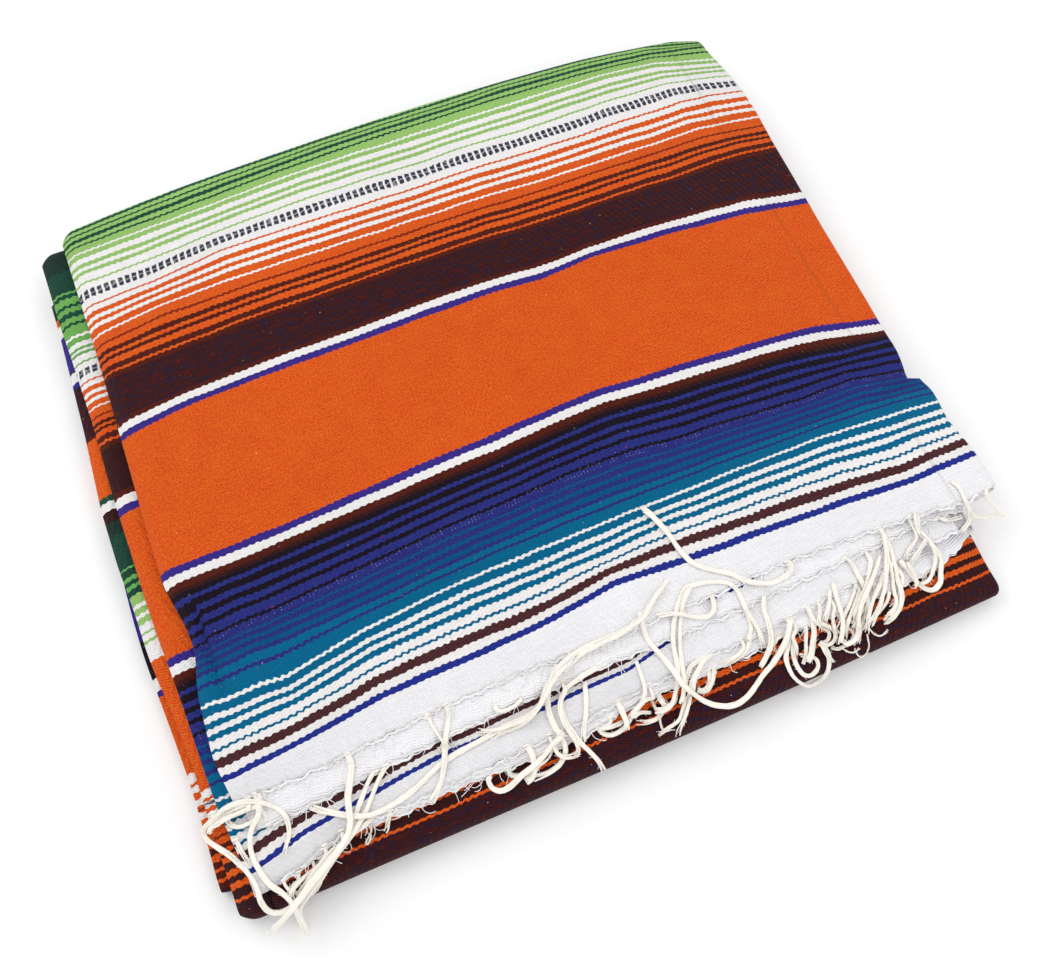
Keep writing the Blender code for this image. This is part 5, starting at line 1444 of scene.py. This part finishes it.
def second_pattern(grid):
    """Distance along the pattern at each point of the second layer."""
    outer = grid[0]
    x, y = outer[..., 0] * 1000.0, outer[..., 1] * 1000.0
    hems = hem(outer[..., 0], "second") * 1000.0
    hems_under = hem(outer[..., 0], "under_second") * 1000.0
    blue = np.interp(x, [p[0] for p in SECOND_BLUE], [p[1] for p in SECOND_BLUE])
    strip_ys, strip_marks = zip(*SECOND_STRIP)
    marks = (0.0, BLUE_MARK, *strip_marks)
    # past the fold at the right the cloth is its lower half, which starts at the other hem
    along = y - hems_under
    for i in range(STRIP + 2 + len(ACROSS_LOW) + len(FOLD_ANGLES) // 2):
        for j in range(x.shape[1]):
            along[i, j] = read_on(y[i, j], (hems[i, j], blue[i, j], *strip_ys), marks)
    return along / 1000.0


def build_second():
    grid = second_grid()
    _, columns, rows, _ = grid.shape
    strip = STRIP - 1
    blocks = ((0, strip, 0, rows - 1, 0.02, 0.20, 0.98, 0.98),
              (strip, columns - 1, 0, SECOND_ROWS, 0.02, 0.02, 0.98, 0.16))
    uv = join_uv(across_of(grid), second_pattern(grid))
    return shell("second_cloth", grid, lambda i, j: i < strip or j < SECOND_ROWS, uv, blocks,
                 woven("second weave", SECOND, CHECKS, DOTS))


def along_cloth(outer, turn):
    """Distance forward of the stack's back, and from row turn on the running length round the fold."""
    along = -outer[..., 1].copy()
    run = lengths(outer, 1)
    along[:, turn:] = along[:, turn:turn + 1] + run[:, turn:] - run[:, turn:turn + 1]
    return along


def build_third():
    grid, only_strip = third_grid()
    _, columns, rows, _ = grid.shape
    strip = STRIP - 1
    blocks = ((0, strip, 0, rows - 1, 0.02, 0.24, 0.98, 0.98),
              (strip, columns - 1, only_strip, rows - 1, 0.02, 0.02, 0.98, 0.20))
    uv = join_uv(across_of(grid), along_cloth(grid[0], rows - len(FRONT_ANGLES) - 2))
    return shell("low_cloth", grid, lambda i, j: i < strip or j >= only_strip, uv, blocks,
                 woven("low weave", LOW, streaked=LOW_STREAKED))


def build_inner():
    grid = inner_grid()
    _, columns, rows, _ = grid.shape
    blocks = ((0, columns - 1, 0, rows - 1, 0.02, 0.02, 0.98, 0.98),)
    uv = join_uv(grid[0][..., 0], along_cloth(grid[0], rows - len(INNER_ANGLES) - 2))
    return shell("inner_cloth", grid, lambda i, j: True, uv, blocks, woven("inner weave", INNER))


# ---- the hidden layers: one solid with a soft edge for every layer -------------------------------
RISER = 0.5735            # x of the wall under the end of the top cloth
NOTCH = 0.5720            # x of the groove between two rounded right edges
GROOVE = 0.0004           # half its width
LIP = 0.0042              # how far an edge stands out of its wall
CURVE = 9                 # points of each rounded edge
FRONT_ROOM = 0.0036       # the hidden layers stay this far behind the face of the front fold


def on_line(points, x, gap):
    """Height of a line of points at x, less a gap."""
    return float(np.interp(x, points[:, 0], points[:, 1])) - gap


def lip_block(riser, base, ceiling, lip=1.0):
    """Points up the left edge of one layer: its lower cloth's selvedge, then the wall up to its tread."""
    room = lip * max(0.0, min(1.0, (ceiling - base) / 0.0045))
    block = [(riser, base + 0.0004 * room)]
    for k in range(CURVE):
        turned = math.pi * k / (CURVE - 1)
        block.append((riser - LIP * room * max(0.0, math.sin(turned)) ** 0.45,
                      base + (0.0017 - 0.0013 * math.cos(turned)) * room))
    return block + [(riser, base + 0.0031 * room), (riser, ceiling)]


def bulge(low, high, reach):
    """Points up a rounded right edge."""
    points = []
    for k in range(CURVE):
        turned = math.pi * (0.06 + 0.88 * k / (CURVE - 1))
        points.append((NOTCH + (reach - NOTCH) * math.sin(turned) ** 0.6,
                       0.5 * (low + high) - 0.5 * (high - low) * math.cos(turned)))
    return points


def core_section(y, kind, floor=0.0, share_back=0.0):
    """The upper and the lower half of a section through the hidden layers, each from left to right."""
    top_out, top_in = top_section(y)
    second_out, second_in = second_line(y)[:, :STRIP]
    third_in = third_line(y)[1][:STRIP + 3 + len(ACROSS_LOW)]
    upper_in = top_in[:TOP_UPPER + 1]
    under_x = (-0.03, 0.0, 0.012) + COMMON_X + (0.579,)
    under = np.array([(x, level(x, y, "under_top") - CLOTH) for x in under_x])
    front_lips = 0.0 if y < INNER_FRONT_Y + 0.015 else 1.0

    def ceiling(x):
        """How high the hidden layers may reach under the cloth that lies on them here."""
        if kind == "under_second":
            return level(x, y, "third") - EASE
        line = {"top": upper_in, "under_top": under, "second": second_in, "third": third_in}[kind]
        return on_line(line, x, EASE + (0.0005 if kind == "top" else 0.0))

    second_left, top_left = left_edge(y, "second"), left_edge(y, "top")
    riser_2, riser_3 = second_left + INSET, top_left + INSET
    riser_1 = left_edge(y, "third") + INSET
    riser_1 += (riser_2 - riser_1) * max(share_back, smooth(-0.060, -0.034, y))
    riser_0 = left_edge(y, "inner") + INSET
    riser_0 += (riser_3 - riser_0) * max(share_back, smooth(-0.100, -0.020, y))
    if front_lips == 0.0:
        riser_0 = riser_1
    axis_z = fold_top(riser_2)
    strip_there = smooth(THIRD_BACK_Y + 0.028, THIRD_BACK_Y + 0.006, y)
    tread_1 = min(axis_z - (axis_z - on_line(third_in, riser_2, EASE)) * strip_there, ceiling(riser_2))
    corner_1 = min(axis_z - (axis_z - on_line(third_in, riser_1, EASE)) * strip_there, ceiling(riser_1))
    start = (riser_2, tread_1)
    low_kind = kind in ("under_second", "third")
    block_2 = lip_block(riser_2, axis_z, on_line(second_in, riser_2, EASE), smooth(-0.503, -0.491, y))
    block_3 = lip_block(riser_3, on_line(second_out, riser_3, 0.0), on_line(upper_in, riser_3, EASE))
    treads = [(x, on_line(second_in, x, EASE)) for x in (second_left + DROOP_RUN, riser_3)]
    if low_kind:
        block_2 = [(riser_2, ceiling(riser_2))] * len(block_2)
        treads = [(x, ceiling(x)) for x, _ in treads]
    if kind != "top":
        block_3 = [(riser_3, ceiling(riser_3))] * len(block_3)
    surface = [(x, ceiling(x)) for x in (top_left + DROOP_RUN,) + COMMON_X]
    reach = right_edge(y, "second") - 0.001
    middle_z = fold_top(NOTCH)
    end_x = RISER if kind in ("top", "under_top") else 0.5670
    end_z = ceiling(end_x)
    steps = range(CURVE + 2)
    riser_points = [(end_x - 0.002 + 0.002 * k / len(steps), end_z) for k in steps]
    if kind == "top":
        return_z = min(p[1] for p in top_out[TOP_UPPER:RETURN_END]) - EASE
        hump = bulge(middle_z + GROOVE, min(return_z, middle_z + LAYER), reach)
        riser_points = [(end_x, end_z + (return_z - end_z) * k / (len(steps) - 1)) for k in steps]
    elif kind == "under_top":
        hump = bulge(middle_z + GROOVE, end_z - GROOVE, reach)
    else:
        hump = [(end_x, middle_z + (end_z - middle_z) * k / CURVE) for k in range(CURVE)]
    end = (NOTCH if kind in ("top", "under_top") else end_x, min(middle_z, end_z))
    if low_kind:
        end = (end_x, end_z - 0.002)
        hump = [(end_x, end_z - 0.002 + 0.002 * k / CURVE) for k in range(CURVE)]
    upper = [start] + block_2 + treads + block_3 + surface + riser_points + hump[::-1] + [end]

    inner_there = smooth(INNER_BACK_Y + 0.055, INNER_BACK_Y + 0.028, y)
    inner_tread = level(riser_1, y, "inner")
    inner_x, inner_z = inner_line(y)
    strip = np.stack((inner_x, inner_z - CLOTH), -1)
    inner_tread -= (inner_tread - on_line(strip, riser_1, EASE)) * inner_there
    block_1 = lip_block(riser_1, level(riser_1, y, "inner"), corner_1, front_lips)
    corner_0 = inner_tread - 0.0012 * inner_there
    block_0 = lip_block(riser_0, floor, corner_0, front_lips if floor == 0.0 else 0.0)
    between = [(riser_1, inner_tread), (0.5 * (riser_0 + riser_1), 0.5 * (inner_tread + corner_0))]
    floor_points = [(x, floor) for x in (top_left + DROOP_RUN,) + COMMON_X]
    half_z = 0.5 * middle_z
    count = 2 * CURVE + 2
    if low_kind:
        right_side = [(end_x, floor + (end[1] - floor) * k / count) for k in range(count)]
    else:
        upper_hump = bulge(half_z + GROOVE, middle_z - GROOVE, reach)
        low = [(NOTCH - 0.002, floor)] + bulge(floor, half_z - GROOVE, reach)
        if floor > 0.0:
            low = [(RISER, floor + (half_z - 0.001 - floor) * k / (CURVE + 1)) for k in range(CURVE + 1)]
        right_side = low + [(NOTCH, half_z)] + upper_hump
    lower = [start] + block_1[::-1] + between + block_0[::-1] + floor_points + right_side + [end]
    return np.array(upper), np.array(lower)


def core_lines():
    """Lines of points round the hidden layers: over the top from front to back, round and back underneath."""
    rows = []

    def add_row(y_of, section):
        row = []
        for half in section:
            x, z = half.T
            row.append(np.stack((x, y_of(x) + np.zeros_like(x), z), -1))
        rows.append(row)

    lip_front = CLOTH + EASE + 0.0006
    front_section = core_section(-0.5460, "third", lip_front)
    for angle in (75, 50, 25):
        turned = math.radians(angle)
        flatter = max(0.12, math.cos(turned))
        shrunk = []
        for half in front_section:
            middle = 0.5 * fold_top(half[:, 0])
            shrunk.append(np.stack((half[:, 0], middle + (half[:, 1] - middle) * flatter), -1))
        add_row(lambda x, t=turned: front_centre(x) - (0.5 * fold_top(x) - FRONT_ROOM) * math.sin(t), shrunk)
    add_row(front_centre, front_section)
    add_row(lambda x: front_centre(x) + FRONT_LIP + SEAM, core_section(-0.538, "third", lip_front))
    add_row(lambda x: front_centre(x) + FRONT_LIP + 0.0012, core_section(-0.5370, "third"))
    for y, kind in ((-0.5200, "third"), (THIRD_START + 0.0003, "third"),
                    (THIRD_START + 0.0007, "under_second"), (UNDER_SECOND_START + 0.0002, "under_second"),
                    (UNDER_SECOND_START + 0.0008, "second"), (-0.490, "second"),
                    (SECOND_START - 0.0001, "second"), (SECOND_START + 0.0006, "under_top")):
        add_row(lambda x, at=y: at, core_section(y, kind))
    for gap, kind in ((0.0004, "under_top"), (0.0010, "top")):
        add_row(lambda x, g=gap: UNDER_TOP_START + g, core_section(UNDER_TOP_START + gap, kind))
    for share in np.linspace(0.06, 0.965, 80):
        add_row(lambda x, s=share: row_y(x, s), core_section(sample_y(share), "top"))
    y_back = sample_y(1.0)
    add_row(lambda x: back_centre(x) - TUCK - 0.0009, core_section(y_back - TUCK - 0.0009, "top", 0.0, 0.8))
    add_row(lambda x: back_centre(x) - TUCK - SEAM, core_section(y_back - TUCK, "top", lip_front, 0.8))
    upper, lower = core_section(y_back, "top", lip_front, 1.0)
    add_row(back_centre, (upper, lower))
    lines = [row[0] for row in rows]
    above, below = upper[:, 1] - fold_top(upper[:, 0]), fold_top(lower[:, 0]) - lower[:, 1]
    for angle in range(80, -81, -8):
        x = upper[:, 0] + (lower[:, 0] - upper[:, 0]) * turn_share(angle)
        lines.append(wrap_back(x, angle, above, below))
    lines += [row[1] for row in rows[::-1]]
    return lines


def build_core(*materials):
    """The solid of the hidden layers; its left edges have the pattern of the cloths beside them."""
    lines = core_lines()
    lines = np.array(lines + lines[:1])
    count = lines.shape[1]
    block = CURVE + 3
    vertices = lines.reshape(-1, 3) + np.array(FRAME)
    faces, cloth, bake, which = [], [], [], []
    run = lengths(lines, 0).mean(1)
    across = lengths(lines, 1).mean(0)
    upper_end = len(lines) // 2
    marks = np.array([row[0] for row in DRIFT])
    left_ys = np.array([-row[1] for row in DRIFT])
    right_ys = np.array([-row[-1] for row in DRIFT])
    strip_ys, strip_marks = zip(*SECOND_STRIP)
    for a in range(len(lines) - 1):
        for k in range(count - 1):
            on_top = a < upper_end
            in_third = block + 3 <= k < 2 * block + 3
            kind = 0 if on_top and k > block else 1
            corners = ((a, k), (a, k + 1), (a + 1, k + 1), (a + 1, k))
            faces.append([i * count + j for i, j in corners])
            which.append(kind)
            for i, j in corners:
                y = lines[i, j, 1] * 1000.0
                if kind and on_top:
                    along = np.interp(y, strip_ys, strip_marks)
                elif kind:
                    along = -y
                else:
                    along = np.interp(y, left_ys if in_third else right_ys, marks)
                cloth.append((across[j] + (WIDTH if lines[i, j, 0] >= 0.5 * WIDTH else 0.0), along / 1000.0))
                bake.append((0.01 + 0.98 * across[j] / across[-1], 0.01 + 0.98 * run[i] / run[-1]))
    piece = make_piece("hidden_edges", vertices, faces, *materials)
    mesh = piece.data
    mesh.polygons.foreach_set("material_index", which)
    add_maps(mesh, cloth, bake)
    work = bmesh.new()
    work.from_mesh(mesh)
    bmesh.ops.remove_doubles(work, verts=work.verts, dist=2e-6)
    bmesh.ops.recalc_face_normals(work, faces=work.faces)
    work.to_mesh(mesh)
    work.free()
    mesh.shade_smooth()
    mesh.set_sharp_from_angle(angle=math.radians(55))
    return piece


# ---- the object ----------------------------------------------------------------------------------
def settle(piece, node):
    """Tie a piece to the root body, and hide the node of the part that it dresses."""
    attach(piece, "root")
    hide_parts(node)


top = build_top()
second = build_second()
low = build_third()
inner = build_inner()
hidden = build_core(top.data.materials[0], low.data.materials[0])
for piece, node in ((top, "top_layer"), (second, "second_layer"), (low, "middle_fold"), (inner, "inner_fold"),
                    (hidden, "hidden_layers")):
    settle(piece, node)

cream = yarn_material("fringe yarn", "cream")
binding = yarn_material("hem thread", "thread")
bare_land = land()
piled_land = bare_land.copy()
yarns = {}
for hem_name in ("under_second", "second", "under_top", "top"):
    yarns[hem_name] = build_fringe(hem_name, bare_land, piled_land, cream, binding)
    settle(yarns[hem_name], "fringe_" + hem_name)


# ---- floor, light and camera ---------------------------------------------------------------------
def plain(name, colour, roughness):
    material = bpy.data.materials.new(name)
    material.use_nodes = True
    shader = material.node_tree.nodes["Principled BSDF"]
    shader.inputs["Base Color"].default_value = (*colour, 1.0)
    shader.inputs["Roughness"].default_value = roughness
    return material


floor_mesh = bpy.data.meshes.new("floor")
reach = 6                 # of the floor on every side, metres
floor_mesh.from_pydata([(-reach, -reach, 0), (reach, -reach, 0), (reach, reach, 0), (-reach, reach, 0)], [],
                       [(0, 1, 2, 3)])
floor_mesh.materials.append(plain("floor", (0.96, 0.96, 0.96), 0.9))
floor = bpy.data.objects.new("floor", floor_mesh)
bpy.context.collection.objects.link(floor)
floor.location = (0.0, 0.0, -0.0002)                         # just clear of the cloth's underside

world = bpy.data.worlds.new("studio")
world.use_nodes = True
world.node_tree.nodes["Background"].inputs["Color"].default_value = (1.0, 1.0, 1.0, 1.0)
world.node_tree.nodes["Background"].inputs["Strength"].default_value = 0.86
bpy.context.scene.world = world


def area_light(name, place, size, power):
    """A square light that faces the middle of the object."""
    data = bpy.data.lights.new(name, "AREA")
    data.shape = "SQUARE"
    data.size = size
    data.energy = power
    light = bpy.data.objects.new(name, data)
    bpy.context.collection.objects.link(light)
    light.location = place
    x, y, z = place
    light.rotation_euler = (math.acos(z / math.hypot(x, y, z)), 0.0, math.atan2(y, x) + math.pi / 2)


area_light("key", place=(-0.9, 1.0, 1.5), size=1.3, power=11.0)
area_light("fill", place=(1.1, -0.9, 1.4), size=1.2, power=6.0)

SENSOR = 36.0             # millimetres
camera_data = bpy.data.cameras.new("camera")
camera_data.sensor_fit = "HORIZONTAL"
camera_data.sensor_width = SENSOR
camera_data.lens = SENSOR * FOCAL / PICTURE[0]
camera_data.clip_start = 0.01
camera = bpy.data.objects.new("camera", camera_data)
bpy.context.collection.objects.link(camera)
camera.matrix_world = Matrix((*zip(RIGHT, UP, BACK, EYE + np.array(FRAME)), (0, 0, 0, 1)))
bpy.context.scene.camera = camera
bpy.context.scene.view_settings.view_transform = "Standard"
